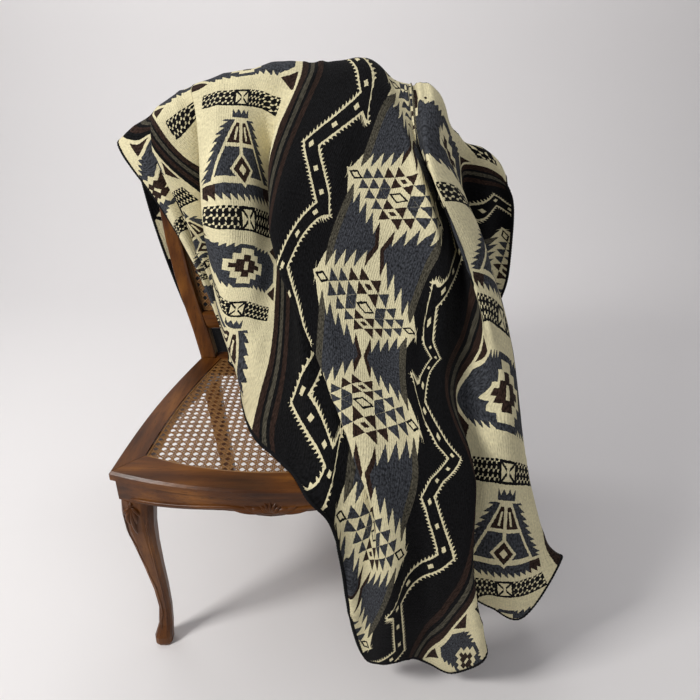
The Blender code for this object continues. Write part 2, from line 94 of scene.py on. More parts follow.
class Yarn:

    def __init__(self, tree, socket):
        self.tree = tree
        self.socket = socket

    def step(self, kind, other=None):
        node = self.tree.nodes.new("ShaderNodeMath")
        node.operation = kind
        for place, value in enumerate((self, other)):
            if isinstance(value, Yarn):
                self.tree.links.new(value.socket, node.inputs[place])
            elif value is not None:
                node.inputs[place].default_value = value
        return Yarn(self.tree, node.outputs[0])

    def __add__(self, other): return self.step("ADD", other)
    def __sub__(self, other): return self.step("SUBTRACT", other)
    def __mul__(self, other): return self.step("MULTIPLY", other)
    def __truediv__(self, other): return self.step("DIVIDE", other)
    def __lt__(self, other): return self.step("LESS_THAN", other)
    def __gt__(self, other): return self.step("GREATER_THAN", other)
    def __and__(self, other): return self.step("MULTIPLY", other)
    def __or__(self, other): return self.step("MAXIMUM", other)
    def __invert__(self): return (self * -1.0) + 1.0
    def __abs__(self): return self.step("ABSOLUTE")
    def fraction(self): return self.step("FRACT")
    def within(self, size): return self.step("ABSOLUTE").step("LESS_THAN", size)
    def saw(self, pitch): return (self / pitch).fraction()          # 0 to 1 in each pitch
    def peak(self, pitch): return abs(self.saw(pitch) * 2.0 - 1.0)  # 1 at each pitch's ends, 0 half way
    def around(self, pitch): return ((self / pitch + 0.5).fraction() - 0.5) * pitch  # distance from the nearest repeat


def choose(tree, mask, first, second):
    # The first where mask is 0, the second where it is 1; each is a colour or a socket.
    node = tree.nodes.new("ShaderNodeMix")
    node.data_type = "RGBA"
    tree.links.new(mask.socket, node.inputs["Factor"])
    for name, value in ((6, first), (7, second)):
        if isinstance(value, tuple):
            node.inputs[name].default_value = (*value, 1.0)
        else:
            tree.links.new(value, node.inputs[name])
    return node.outputs[2]


def newMaterial(name, levels):
    material = bpy.data.materials.new(name)
    material.use_nodes = True
    shader = material.node_tree.nodes["Principled BSDF"]
    for socket, value in levels.items():
        shader.inputs[socket].default_value = value
    return material, material.node_tree, shader


def noiseOf(tree, scale, detail=2.0, vector=None, stretch=None):
    texture = tree.nodes.new("ShaderNodeTexNoise")
    texture.inputs["Scale"].default_value = scale
    texture.inputs["Detail"].default_value = detail
    vector = vector or tree.nodes.new("ShaderNodeTexCoord").outputs["Object"]
    if stretch:
        mapping = tree.nodes.new("ShaderNodeMapping")
        mapping.inputs["Scale"].default_value = stretch
        tree.links.new(vector, mapping.inputs["Vector"])
        vector = mapping.outputs["Vector"]
    tree.links.new(vector, texture.inputs["Vector"])
    return Yarn(tree, texture.outputs["Fac"])


def bumpFrom(tree, shader, height, strength, distance):
    bump = tree.nodes.new("ShaderNodeBump")
    bump.inputs["Strength"].default_value = strength
    bump.inputs["Distance"].default_value = distance
    tree.links.new(height.socket, bump.inputs["Height"])
    tree.links.new(bump.outputs["Normal"], shader.inputs["Normal"])


camera = {
    "place": (0.132, -1.061, 1.077),   # in the chair's own measure
    "tilt": math.pi / 2 - 0.454,
    "lens": 31.31,
}
lensData = bpy.data.cameras.new("camera")
lensData.lens = camera["lens"]
lensData.sensor_width = 36.0
lensData.clip_start = 0.05
viewer = linkPiece("camera", lensData)
viewer.location = Vector(camera["place"]) + chairShift
viewer.rotation_euler = (camera["tilt"], 0.0, 0.0)
bpy.context.scene.camera = viewer
print("camera stands")


# The blanket's fold lines, in the chair's own measure.

blanket = {
    "thickness": 0.003,
    "flat": (1.40, 1.80),
    "crestY": 0.362,
    "backY": 0.418,
    "backSag": 0.012,
    "wave": 0.024,
    "waveTurn": 1.05,
    "shoulders": (0.046, 0.036, 0.018),   # before the crest, behind it, and how far they drop
    "knee": 0.47,
    "steps": (13, 18, 12),                # below the knee, above it, behind the back
    "finer": (8, 4),                      # how often each fold gap and each step is split
    "heights": (0.90, 0.75, 0.60, 0.47, 0.30),
    "seatShare": 0.93,                    # how far cloth that lies on the seat comes forward
    "leanEases": (0.95, 0.50),            # the height from which a line's lower lean sets in, and over what drop
    "liftEases": (0.75, 0.35),            # the same for its lift
    "crestEases": 0.10,
    "room": (0.0037, 0.0029),             # from the chair, before and after its pushes are eased
}
fullLean = ((0.00, -0.302), (0.30, -0.314), (0.40, -0.312), (0.44, -0.302), (0.47, -0.272),
            (0.60, -0.148), (0.75, 0.000), (0.90, 0.152), (1.00, 0.262), (1.07, 0.345))
onSeat = 0.4409

# Crest (x, z), x at each of the heights, front hem (x, z), lean, lift, rear hem (x, z), and metres across the
# weave from the middle of the slate band: front hem, 0.30, 0.47, 0.60, 0.75, 0.90, crest, rear hem.
folds = {
    "left hem": (
        (-0.366, 0.906), (-0.362, -0.258, -0.186, -0.15, -0.145), (-0.145, onSeat), (0.36, 0.27), (0.0, 0.0),
        (-0.252, 0.31), (-0.745, -0.745, -0.745, -0.745, -0.745, -0.7, -0.6, -0.66)),
    "left layer": (
        (-0.33, 0.935), (-0.312, -0.236, -0.176, -0.138, -0.133), (-0.133, onSeat), (0.4, 0.3), (0.01, 0.0),
        (-0.238, 0.29), (-0.735, -0.735, -0.735, -0.735, -0.73, -0.66, -0.57, -0.64)),
    "left step under": (
        (-0.3, 0.957), (-0.272, -0.205, -0.152, -0.12, -0.115), (-0.115, onSeat), (0.36, 0.31), (-0.008, 0.0),
        (-0.22, 0.3), (-0.715, -0.715, -0.715, -0.715, -0.7, -0.62, -0.535, -0.62)),
    "left step edge": (
        (-0.28, 0.976), (-0.276, -0.212, -0.154, -0.118, -0.112), (-0.112, onSeat), (0.46, 0.34), (0.012, 0.0),
        (-0.2, 0.31), (-0.705, -0.705, -0.705, -0.705, -0.69, -0.579, -0.505, -0.6)),
    "left inner layer": (
        (-0.24, 0.998), (-0.215, -0.172, -0.13, -0.1, -0.096), (-0.096, onSeat), (0.42, 0.34), (0.004, 0.0),
        (-0.172, 0.3), (-0.68, -0.68, -0.68, -0.67, -0.64, -0.49, -0.465, -0.57)),
    "tuck behind ridge": (
        (-0.207, 1.012), (-0.16, -0.144, -0.11, -0.08, -0.076), (-0.076, onSeat), (0.36, 0.33), (-0.014, 0.0),
        (-0.146, 0.31), (-0.62, -0.62, -0.62, -0.6, -0.57, -0.46, -0.435, -0.54)),
    "ridge left edge": (
        (-0.19, 1.02), (-0.179, -0.167, -0.139, -0.105, -0.098), (-0.098, onSeat), (0.52, 0.45), (0.006, 0.0),
        (-0.12, 0.3), (-0.355, -0.355, -0.36, -0.45, -0.5, -0.5, -0.5, -0.51)),
    "ridge crown": (
        (-0.142, 1.034), (-0.135, -0.126, -0.108, -0.082, -0.068), (-0.068, onSeat), (0.66, 0.62), (0.03, 0.016),
        (-0.1, 0.32), (-0.325, -0.325, -0.345, -0.43, -0.47, -0.465, -0.46, -0.48)),
    "ridge right flank": (
        (-0.098, 1.044), (-0.072, -0.062, -0.06, -0.048, -0.036), (-0.036, onSeat), (0.66, 0.74), (0.01, 0.006),
        (-0.075, 0.33), (-0.3, -0.3, -0.315, -0.375, -0.41, -0.395, -0.425, -0.45)),
    "stripes": (
        (-0.066, 1.048), (-0.04, -0.024, -0.018, -0.012, 0.0), (0.0, onSeat), (0.6, 0.82), (-0.03, 0.0),
        (-0.045, 0.32), (-0.262, -0.262, -0.27, -0.32, -0.33, -0.318, -0.395, -0.42)),
    "lobe left": (
        (-0.04, 1.055), (-0.026, -0.008, 0.027, 0.032, 0.036), (0.036, onSeat), (0.62, 0.9), (-0.04, 0.0),
        (-0.02, 0.34), (-0.19, -0.19, -0.22, -0.243, -0.3, -0.317, -0.372, -0.39)),
    "lobe middle": (
        (-0.03, 1.057), (-0.022, -0.002, 0.048, 0.062, 0.068), (0.068, onSeat), (0.65, 1.0), (-0.043, 0.0),
        (-0.008, 0.345), (-0.165, -0.165, -0.185, -0.215, -0.285, -0.3165, -0.365, -0.37)),
    "lobe right": (
        (-0.02, 1.058), (-0.018, 0.004, 0.07, 0.09, 0.1), (0.1, 0.405), (0.68, 1.0), (-0.045, -0.002),
        (0.005, 0.35), (-0.14, -0.14, -0.155, -0.19, -0.275, -0.316, -0.355, -0.36)),
    "lower hem upper": (
        (-0.006, 1.059), (-0.013, 0.012, 0.096, 0.122, 0.12), (0.117, 0.33), (0.74, 1.0), (-0.045, -0.004),
        (0.02, 0.37), (-0.075, -0.075, -0.105, -0.15, -0.265, -0.315, -0.342, -0.34)),
    "lower hem middle": (
        (0.006, 1.06), (-0.011, 0.018, 0.112, 0.15, 0.135), (0.134, 0.18), (0.8, 1.0), (-0.045, -0.006),
        (0.035, 0.38), (0.03, -0.045, -0.075, -0.13, -0.255, -0.314, -0.335, -0.33)),
    "valley": (
        (0.018, 1.06), (-0.008, 0.022, 0.12, 0.172, 0.16), (0.158, 0.072), (0.86, 1.0), (-0.04, -0.01),
        (0.05, 0.39), (0.115, 0.0, -0.04, -0.11, -0.25, -0.3135, -0.325, -0.31)),
    "panel edge": (
        (0.036, 1.06), (-0.022, -0.002, 0.086, 0.152, 0.184), (0.186, 0.082), (1.0, 1.0), (0.0, 0.012),
        (0.065, 0.38), (0.165, 0.06, -0.006, -0.09, -0.24, -0.313, -0.309, -0.29)),
    "panel left": (
        (0.08, 1.061), (0.04, 0.06, 0.124, 0.178, 0.204), (0.212, 0.092), (1.02, 1.0), (0.01, 0.016),
        (0.095, 0.4), (0.21, 0.1, 0.025, -0.034, -0.137, -0.222, -0.255, -0.25)),
    "panel centre": (
        (0.128, 1.063), (0.12, 0.13, 0.165, 0.208, 0.228), (0.246, 0.085), (1.01, 1.0), (0.008, 0.002),
        (0.13, 0.42), (0.28, 0.15, 0.06, 0.015, -0.05, -0.138, -0.2, -0.2)),
    "panel right": (
        (0.168, 1.064), (0.19, 0.2, 0.208, 0.24, 0.252), (0.28, 0.058), (1.0, 1.0), (-0.006, -0.006),
        (0.17, 0.43), (0.34, 0.18, 0.097, 0.075, 0.017, -0.066, -0.155, -0.155)),
    "black right": (
        (0.196, 1.048), (0.236, 0.26, 0.246, 0.276, 0.284), (0.325, 0.045), (1.0, 1.0), (-0.01, 0.004),
        (0.2, 0.45), (0.4, 0.22, 0.165, 0.135, 0.07, -0.018, -0.13, -0.11)),
    "black right edge": (
        (0.22, 1.024), (0.251, 0.297, 0.29, 0.332, 0.334), (0.374, 0.12), (0.99, 1.0), (-0.004, 0.018),
        (0.22, 0.46), (0.47, 0.3, 0.265, 0.25, 0.103, 0.0, -0.103, -0.08)),
    "tuck under black": (
        (0.239, 1.016), (0.26, 0.315, 0.322, 0.312, 0.308), (0.346, 0.17), (0.94, 0.95), (-0.014, -0.026),
        (0.24, 0.47), (0.335, 0.315, 0.28, 0.275, 0.15, 0.028, -0.075, -0.05)),
    "cream panel left": (
        (0.256, 1.013), (0.269, 0.334, 0.35, 0.338, 0.35), (0.395, 0.15), (0.87, 0.93), (-0.02, -0.01),
        (0.252, 0.48), (0.375, 0.36, 0.335, 0.303, 0.2, 0.045, -0.045, 0.02)),
    "cream panel": (
        (0.272, 1.014), (0.277, 0.344, 0.372, 0.382, 0.412), (0.452, 0.14), (0.93, 0.92), (-0.004, 0.01),
        (0.275, 0.49), (0.45, 0.43, 0.395, 0.34, 0.255, 0.325, 0.32, 0.05)),
    "right fold edge": (
        (0.291, 1.016), (0.28, 0.335, 0.396, 0.424, 0.476), (0.518, 0.25), (1.03, 0.87), (0.018, 0.004),
        (0.295, 0.5), (0.525, 0.51, 0.44, 0.4, 0.315, 0.345, 0.34, 0.1)),
    "turned back": (
        (0.313, 1.008), (0.308, 0.38, 0.426, 0.444, 0.482), (0.507, 0.15), (0.9, 0.76), (0.0, 0.0),
        (0.31, 0.51), (0.555, 0.54, 0.49, 0.45, 0.37, 0.37, 0.37, 0.14)),
    "outer layer": (
        (0.332, 0.985), (0.322, 0.392, 0.44, 0.464, 0.476), (0.476, 0.095), (0.6, 0.56), (0.0, 0.0),
        (0.328, 0.53), (0.66, 0.64, 0.6, 0.56, 0.42, 0.4, 0.4, 0.18)),
    "side wall": (
        (0.352, 0.932), (0.346, 0.386, 0.412, 0.434, 0.44), (0.44, 0.3), (0.3, 0.32), (0.0, 0.0),
        (0.35, 0.56), (0.74, 0.74, 0.7, 0.66, 0.56, 0.46, 0.44, 0.23)),
    "back right inner": (
        (0.385, 0.898), (0.385, 0.388, 0.396, 0.402, 0.405), (0.405, 0.47), (0.08, 0.1), (0.0, 0.0),
        (0.375, 0.6), (0.9, 0.9, 0.88, 0.82, 0.65, 0.52, 0.48, 0.28)),
    "back right middle": (
        (0.43, 0.885), (0.43, 0.44, 0.44, 0.44, 0.44), (0.44, 0.51), (0.1, 0.04), (0.018, 0.01),
        (0.41, 0.64), (0.9, 0.9, 0.89, 0.83, 0.65, 0.52, 0.49, 0.31)),
    "back right outer": (
        (0.468, 0.857), (0.47, 0.482, 0.482, 0.475, 0.475), (0.475, 0.525), (0.07, 0.03), (-0.006, 0.0),
        (0.445, 0.67), (0.9, 0.9, 0.89, 0.83, 0.65, 0.52, 0.5, 0.34)),
    "right hem": (
        (0.488, 0.825), (0.49, 0.506, 0.512, 0.502, 0.502), (0.502, 0.535), (0.06, 0.02), (0.008, 0.006),
        (0.465, 0.69), (0.9, 0.9, 0.89, 0.83, 0.65, 0.53, 0.52, 0.36)),
}

# More places across the weave, between the heights above: fold, height, metres.
acrossMore = {
    "black right edge": (0.535, 0.285),
    "tuck under black": (0.535, 0.325),
    "cream panel left": (0.535, 0.365),
    "cream panel": (0.535, 0.395),
}

# Where the repeats fall along the weave, band by band: fold, height, metres.
along = {
    "left cream": (("ridge right flank", 0.985, -0.2175), ("ridge right flank", 0.770, -0.0125),
                   ("ridge crown", 0.605, 0.1925)),
    "left zigzag": (("panel right", 0.990, -0.110), ("panel left", 0.915, 0.000), ("panel left", 0.804, 0.1025)),
    "diamonds": (("panel right", 0.845, 0.000), ("panel centre", 0.683, 0.205), ("panel centre", 0.556, 0.410),
                 ("panel edge", 0.374, 0.615), ("panel edge", 0.110, 0.820)),
    "right zigzag": (("black right", 0.712, 0.1025), ("black right", 0.628, 0.190), ("black right", 0.588, 0.3075),
                     ("black right", 0.510, 0.410), ("panel right", 0.462, 0.5125)),
    "right cream": (("cream panel", 0.700, 0.3975), ("cream panel", 0.470, 0.6025), ("cream panel", 0.350, 0.705)),
}
diamondSlant = ((-0.20, 0.08), (0.00, 0.10), (0.205, 0.43), (0.41, 0.32), (0.615, 0.15))  # metres along, slant

# Cloth doubled out of sight: the folds on either side, and the heights between which the doubling sets in.
tucks = (("tuck behind ridge", "ridge left edge", 0.0, 0.1), ("cream panel left", "cream panel", 0.74, 0.84))
bandPlaces = ((-0.313, "left cream"), (-0.247, "left zigzag"), (-0.134, "left zigzag"), (-0.119, "diamonds"),
              (0.119, "diamonds"), (0.134, "right zigzag"), (0.247, "right zigzag"), (0.313, "right cream"))


def easeStep(value):
    value = min(1.0, max(0.0, value))
    return value * value * (3.0 - 2.0 * value)


def leanAt(height):
    return float(np.interp(height, [row[0] for row in fullLean], [row[1] for row in fullLean]))


def frontPoint(name, x, height, rests):
    crest, _, _, lean, lift, _, _ = folds[name]

    def eased(values, start, drop):
        return values[0] + (values[1] - values[0]) * easeStep((start - height) / drop)

    share = eased(lean, *blanket["leanEases"])
    if rests:
        share *= blanket["seatShare"]
    stand = eased(lift, *blanket["liftEases"])
    near = easeStep((crest[1] - height) / blanket["crestEases"])
    y = blanket["crestY"] + (leanAt(height) - blanket["crestY"]) * share - stand * near
    return [x, y, height]


def bendThrough(before, start, end, after, share):
    return 0.5 * (2.0 * start + (end - before) * share
                  + (2.0 * before - 5.0 * start + 4.0 * end - after) * share ** 2
                  + (3.0 * start - before - 3.0 * end + after) * share ** 3)


def curveAt(points, place):
    # A smooth curve through rows of numbers, read at place, which counts rows from 0.
    last = len(points) - 1
    index = min(int(place), last - 1)
    around = (points[i] for i in (max(index - 1, 0), index, index + 1, min(index + 2, last)))
    return bendThrough(*around, place - index)


def evenRows(points, knee, lowSteps, highSteps):
    fine = 12
    samples = np.array([curveAt(points, step / fine) for step in range((len(points) - 1) * fine + 1)])
    lengths = np.concatenate(([0.0], np.cumsum(np.linalg.norm(np.diff(samples[:, :3], axis=0), axis=1))))
    bend = lengths[knee * fine]
    targets = [bend * step / lowSteps for step in range(lowSteps)]
    targets += [bend + (lengths[-1] - bend) * step / highSteps for step in range(highSteps + 1)]
    return np.stack([np.interp(targets, lengths, samples[:, axis]) for axis in range(samples.shape[1])], axis=1)


def foldLine(number, name):
    # Rows of x, y, z and metres across the weave, from the front hem over the crest to the rear hem.
    crest, xs, hem, lean, _, rear, weave = folds[name]
    frontShoulder, rearShoulder, drop = blanket["shoulders"]
    crestY = blanket["crestY"]
    rests = abs(hem[1] - onSeat) < 0.001
    front = [frontPoint(name, hem[0], hem[1], False) + [weave[0]]]
    stations = sorted(zip(blanket["heights"], xs, weave[5:0:-1]))
    for height, x, place in stations:
        if hem[1] + 0.015 < height < crest[1] - 0.05:
            front.append(frontPoint(name, x, height, rests and height < 0.5) + [place])
            if name in acrossMore and height == blanket["knee"]:
                between, metres = acrossMore[name]
                middleX = x + (xs[2] - x) * (between - height) / (blanket["heights"][2] - height)
                front.append(frontPoint(name, middleX, between, False) + [metres])
    shoulder = frontShoulder * (0.35 + 0.65 * min(1.0, lean[0] / 0.4))
    front.append([crest[0], crestY - shoulder, crest[1] - drop, weave[6]])
    front.append([crest[0], crestY, crest[1], weave[6]])
    wave = blanket["wave"] * (math.sin(number * blanket["waveTurn"]) + 0.5 * math.sin(number * 0.43 + 1.0))
    back = [[crest[0], crestY, crest[1], weave[6]],
            [crest[0], crestY + rearShoulder, crest[1] - drop, weave[6]]]
    for share, swell in ((0.3, 0.4), (0.65, 0.8), (1.0, 1.0)):
        height = crest[1] - 0.04 + (rear[1] - crest[1] + 0.04) * share
        x = crest[0] + (rear[0] - crest[0]) * share ** 1.6
        back.append([x, blanket["backY"] + blanket["backSag"] * share + wave * swell, height,
                     weave[6] + (weave[7] - weave[6]) * share])
    knee = next(i for i, point in enumerate(front) if i and point[2] > blanket["knee"] - 0.001)
    low, high, behind = blanket["steps"]
    half = behind // 2
    return np.concatenate((evenRows(np.array(front), knee, low, high),
                           evenRows(np.array(back), 2, half, half)[1:]))


def alongWeave(grid):
    # Metres along the weave for each point of the grid, square to the metres across it.
    rows, columns = grid.shape[:2]
    points = grid[:, :, :3]
    number = np.arange(rows * columns).reshape(rows, columns)

    def changeOf(values):
        return (values[1:, :-1] + values[1:, 1:] - values[:-1, :-1] - values[:-1, 1:],
                values[:-1, 1:] + values[1:, 1:] - values[:-1, :-1] - values[1:, :-1])

    alongX, alongZ = changeOf(points)
    changeX, changeZ = changeOf(grid[:, :, 3])
    normal = np.cross(alongX, alongZ)
    normal /= np.linalg.norm(normal, axis=2, keepdims=True) + 1e-12
    gxx = (alongX * alongX).sum(2)
    gxz = (alongX * alongZ).sum(2)
    gzz = (alongZ * alongZ).sum(2)
    spread = np.maximum(gxx * gzz - gxz * gxz, 1e-12)
    first = (gzz * changeX - gxz * changeZ) / spread
    second = (gxx * changeZ - gxz * changeX) / spread
    slope = alongX * first[..., None] + alongZ * second[..., None]
    steep = np.linalg.norm(slope, axis=2, keepdims=True) + 1e-9
    course = np.cross(slope / steep, normal)
    trust = np.sqrt(spread) * np.clip(steep[..., 0] / 0.6, 0.05, 1.0) * np.clip(2.5 / steep[..., 0], 0.05, 1.0)
    size = rows * columns
    square = np.zeros((size, size))
    right = np.zeros(size)

    def addLink(start, end, wanted, weight):
        start, end, wanted, weight = (np.asarray(v).ravel() for v in (start, end, wanted, weight))
        np.add.at(square, (start, start), weight)
        np.add.at(square, (end, end), weight)
        np.add.at(square, (start, end), -weight)
        np.add.at(square, (end, start), -weight)
        np.add.at(right, end, weight * wanted)
        np.add.at(right, start, -weight * wanted)

    for a, b in (((0, 0), (1, 0)), ((0, 1), (1, 1)), ((0, 0), (0, 1)), ((1, 0), (1, 1))):
        start, end = (np.s_[k[0]:rows - 1 + k[0], k[1]:columns - 1 + k[1]] for k in (a, b))
        gap = points[end] - points[start]
        length = np.maximum((gap * gap).sum(2), 1e-8)
        addLink(number[start], number[end], (gap * course).sum(2), trust / length)
    square[np.arange(size), np.arange(size)] += 1e-7
    return np.linalg.solve(square, right).reshape(rows, columns)


def setRepeats(fine):
    # Shifts the metres along the weave so that each band's figures fall where they are listed.
    names = list(folds)
    run = fine[:, :, 4].copy()
    frontRows = sum(blanket["steps"][:2]) * blanket["finer"][1]
    moved = {}
    for band, marks in along.items():
        found = []
        for name, height, place in marks:
            row = names.index(name) * blanket["finer"][0]
            index = int(np.abs(fine[row, :frontRows, 2] - height).argmin())
            found.append((run[row, index], place - run[row, index]))
        found.sort()
        moved[band] = np.interp(run, [f[0] for f in found], [f[1] for f in found])
    shift = moved[bandPlaces[0][1]].copy()
    for (low, before), (high, after) in zip(bandPlaces, bandPlaces[1:]):
        share = np.clip((fine[:, :, 3] - low) / (high - low), 0.0, 1.0)
        inside = fine[:, :, 3] > low
        shift[inside] = (moved[before] * (1.0 - share) + moved[after] * share)[inside]
    run = run + shift
    slant = np.interp(run, [row[0] for row in diamondSlant], [row[1] for row in diamondSlant])
    fine[:, :, 4] = run - slant * np.clip(fine[:, :, 3], -0.115, 0.115)
    split = blanket["finer"][0]
    for first, second, low, high in tucks:
        row = names.index(first) * split
        doubled = np.array([easeStep((height - low) / (high - low)) for height in fine[row, :, 2]])
        for column in (3, 4):
            start, end = fine[row, :, column].copy(), fine[row + split, :, column].copy()
            for k in range(split + 1):
                share = easeStep((k / split - 0.5) * 4.0 + 0.5)
                fine[row + k, :, column] += (start + (end - start) * share - fine[row + k, :, column]) * doubled
    return fine


def splitRows(values, count):
    # Smooth rows between those given, count steps to each.
    last = len(values) - 1
    place = np.arange(last * count + 1) / count
    index = np.minimum(place.astype(int), last - 1)
    share = (place - index).reshape(-1, 1, 1)
    return bendThrough(values[np.maximum(index - 1, 0)], values[index], values[index + 1],
                       values[np.minimum(index + 2, last)], share)


def splitByLength(values, count):
    # The same for rows whose steps differ much in length: each bend is spread by metres, so none overshoots.
    last = len(values) - 1
    place = np.arange(last * count + 1) / count
    index = np.minimum(place.astype(int), last - 1)
    share = (place - index).reshape(-1, 1, 1)
    steps = np.linalg.norm(np.diff(values[..., :3], axis=0), axis=-1)[..., None] + 1e-9
    slope = np.empty_like(values)
    slope[1:-1] = (values[2:] - values[:-2]) / (steps[1:] + steps[:-1])
    slope[0] = (values[1] - values[0]) / steps[0]
    slope[-1] = (values[-1] - values[-2]) / steps[-1]
    leave = slope[index] * steps[index]
    arrive = slope[index + 1] * steps[index]
    return ((2.0 * share ** 3 - 3.0 * share ** 2 + 1.0) * values[index]
            + (share ** 3 - 2.0 * share ** 2 + share) * leave
            + (3.0 * share ** 2 - 2.0 * share ** 3) * values[index + 1] + (share ** 3 - share ** 2) * arrive)


def gridNormals(points):
    normal = np.cross(np.gradient(points, axis=0), np.gradient(points, axis=1))
    return normal / (np.linalg.norm(normal, axis=2, keepdims=True) + 1e-12)


creases = {
    "broad": 0.0048,
    "narrow": 0.0036,
    "sharp": 0.0040,
    "sink": 0.0012,
    "fuzz": 0.0006,
    "calmEdge": 20.0,   # rows and columns over which the creases grow from the hem
}


def wrinkle(fine):
    # Small uneven creases on top of the main folds.
    points = fine[:, :, :3]
    rows, columns = fine.shape[:2]
    lift = np.zeros((rows, columns))
    for i in range(rows):
        for j in range(columns):
            s, t = fine[i, j, 3], fine[i, j, 4]
            broad = noise.noise(Vector((s * 5.0 + 3.1, t * 2.6, 0.0)))
            narrow = noise.noise(Vector((s * 15.0, t * 4.0 + 7.0, 1.7)))
            sharp = 1.0 - abs(noise.noise(Vector((s * 7.0 + t * 1.5, t * 3.5 - s * 2.0, 9.3)))) * 3.2
            fuzz = noise.noise(Vector((s * 55.0, t * 40.0, 4.2)))
            lift[i, j] = (creases["broad"] * broad + creases["narrow"] * narrow
                          + creases["sharp"] * max(sharp, 0.0) ** 2 - creases["sink"] + creases["fuzz"] * fuzz)
    i, j = np.meshgrid(np.arange(rows), np.arange(columns), indexing="ij")
    edge = np.minimum.reduce([i, rows - 1 - i, j, columns - 1 - j])
    lift *= np.clip(0.4 + edge / creases["calmEdge"], 0.0, 1.0)
    return points + gridNormals(points) * lift[..., None]


def clearOfChair(points, room):
    # Moves the points that come too near the chair away from it.
    trees = [surfaceOf(name) for name in nodes if name != "blanket"]
    flat = points.reshape(-1, 3)
    for index in range(len(flat)):
        point = Vector(flat[index])
        for tree in trees:
            near, normal = tree.find_nearest(point, room)[:2]
            if near is not None:
                away = point - near
                inside = away.dot(normal) < 0.0
                flat[index] = near + (normal if inside or away.length < 1e-5 else away.normalized()) * room
                point = Vector(flat[index])
    return flat.reshape(points.shape)


grid = np.array([foldLine(number, name) for number, name in enumerate(folds)])
grid = np.concatenate((grid, alongWeave(grid)[..., None]), axis=2)
acrossSplit, alongSplit = blanket["finer"]
fine = splitRows(grid, acrossSplit)
fine = setRepeats(splitByLength(fine.transpose(1, 0, 2), alongSplit).transpose(1, 0, 2))
print("fold lines laid:", fine.shape)
sheetPoints = wrinkle(fine) + np.array(chairShift)
wanted = sheetPoints.copy()
pushed = clearOfChair(sheetPoints, blanket["room"][0]) - wanted
for _ in range(6):  # eases the pushes into the cloth around them
    padded = np.pad(pushed, ((1, 1), (1, 1), (0, 0)), mode="edge")
    pushed = (padded[1:-1, 1:-1] * 2.0 + padded[:-2, 1:-1] + padded[2:, 1:-1]
              + padded[1:-1, :-2] + padded[1:-1, 2:]) / 6.0
sheetPoints = clearOfChair(wanted + pushed, blanket["room"][1])
print("cloth lies clear of the chair")


# The weave, charted in metres across (s) and along (t).

yarns = {
    "cream": (0.69, 0.625, 0.40),
    "black": (0.0052, 0.0052, 0.0058),
    "slate": (0.041, 0.044, 0.051),
    "brown": (0.028, 0.016, 0.012),
    "olive": (0.066, 0.060, 0.044),
}
design = {
    "repeat": 0.205,        # from one diamond to the next
    "bandGap": 0.413,       # from the slate band's middle to the cream band's
    "slate": 0.085,         # where each band ends, from the slate band's middle
    "olive": 0.100,
    "black": 0.247,
    "stripes": 0.313,
    "leftBorder": -0.579,
    "leftFigure": -0.680,
    # share of the striped band at which each stripe starts, seen from the cream side
    "stripeYarns": ((0.00, "brown"), (0.22, "black"), (0.31, "olive"), (0.47, "black"), (0.60, "brown"),
                    (0.80, "black")),
}
zigzag = {
    "near": 0.1340,         # the middle's nearest place to the slate band
    "reach": 0.078,
    "halfGap": 0.0148,      # between the two cream lines
    "halfLine": 0.0019,
    "comb": (0.0160, 0.0080, 0.0090, 0.0082),  # start, pitch, slant, length
    "squares": (0.0505, 0.0052, 0.0043),       # pitch, half length, half width
    "band": (0.100, 0.2445),
}


def zigzagLines(t, w):
    # Two cream lines with combs on their outer sides and small squares between.
    turn = (t / design["repeat"] - 0.5).fraction()
    centre = (turn / 0.5).step("MINIMUM", (turn * -1.0 + 1.0) / 0.5) * zigzag["reach"] + zigzag["near"]
    slope = math.atan(zigzag["reach"] / (0.5 * design["repeat"]))
    shorten, lean = math.cos(slope), math.sin(slope)
    offset = (w - centre) * shorten
    run = (t + offset * ((turn < 0.5) * 2.0 * lean - lean)) / shorten
    gap = abs(offset)
    line = (gap - zigzag["halfGap"]).within(zigzag["halfLine"])
    start, pitch, slant, length = zigzag["comb"]
    beyond = gap - start
    comb = (beyond > 0.0) & (beyond + run.saw(pitch) * slant < length) & (run.saw(pitch) > 0.25)
    pitch, halfLength, halfWidth = zigzag["squares"]
    square = (gap < halfWidth) & run.around(pitch).within(halfLength)
    return (line | comb | square) & (w > zigzag["band"][0]) & (w < zigzag["band"][1])


lattice = {
    "halfWidth": 0.082,     # inner figure of four by four cells
    "halfHeight": 0.045,
    "toothPitch": 0.020,
    "toothLength": 0.031,
    "crown": 0.016,
    "crownLength": 0.040,
    "end": 0.118,
    "tip": 0.124,
}


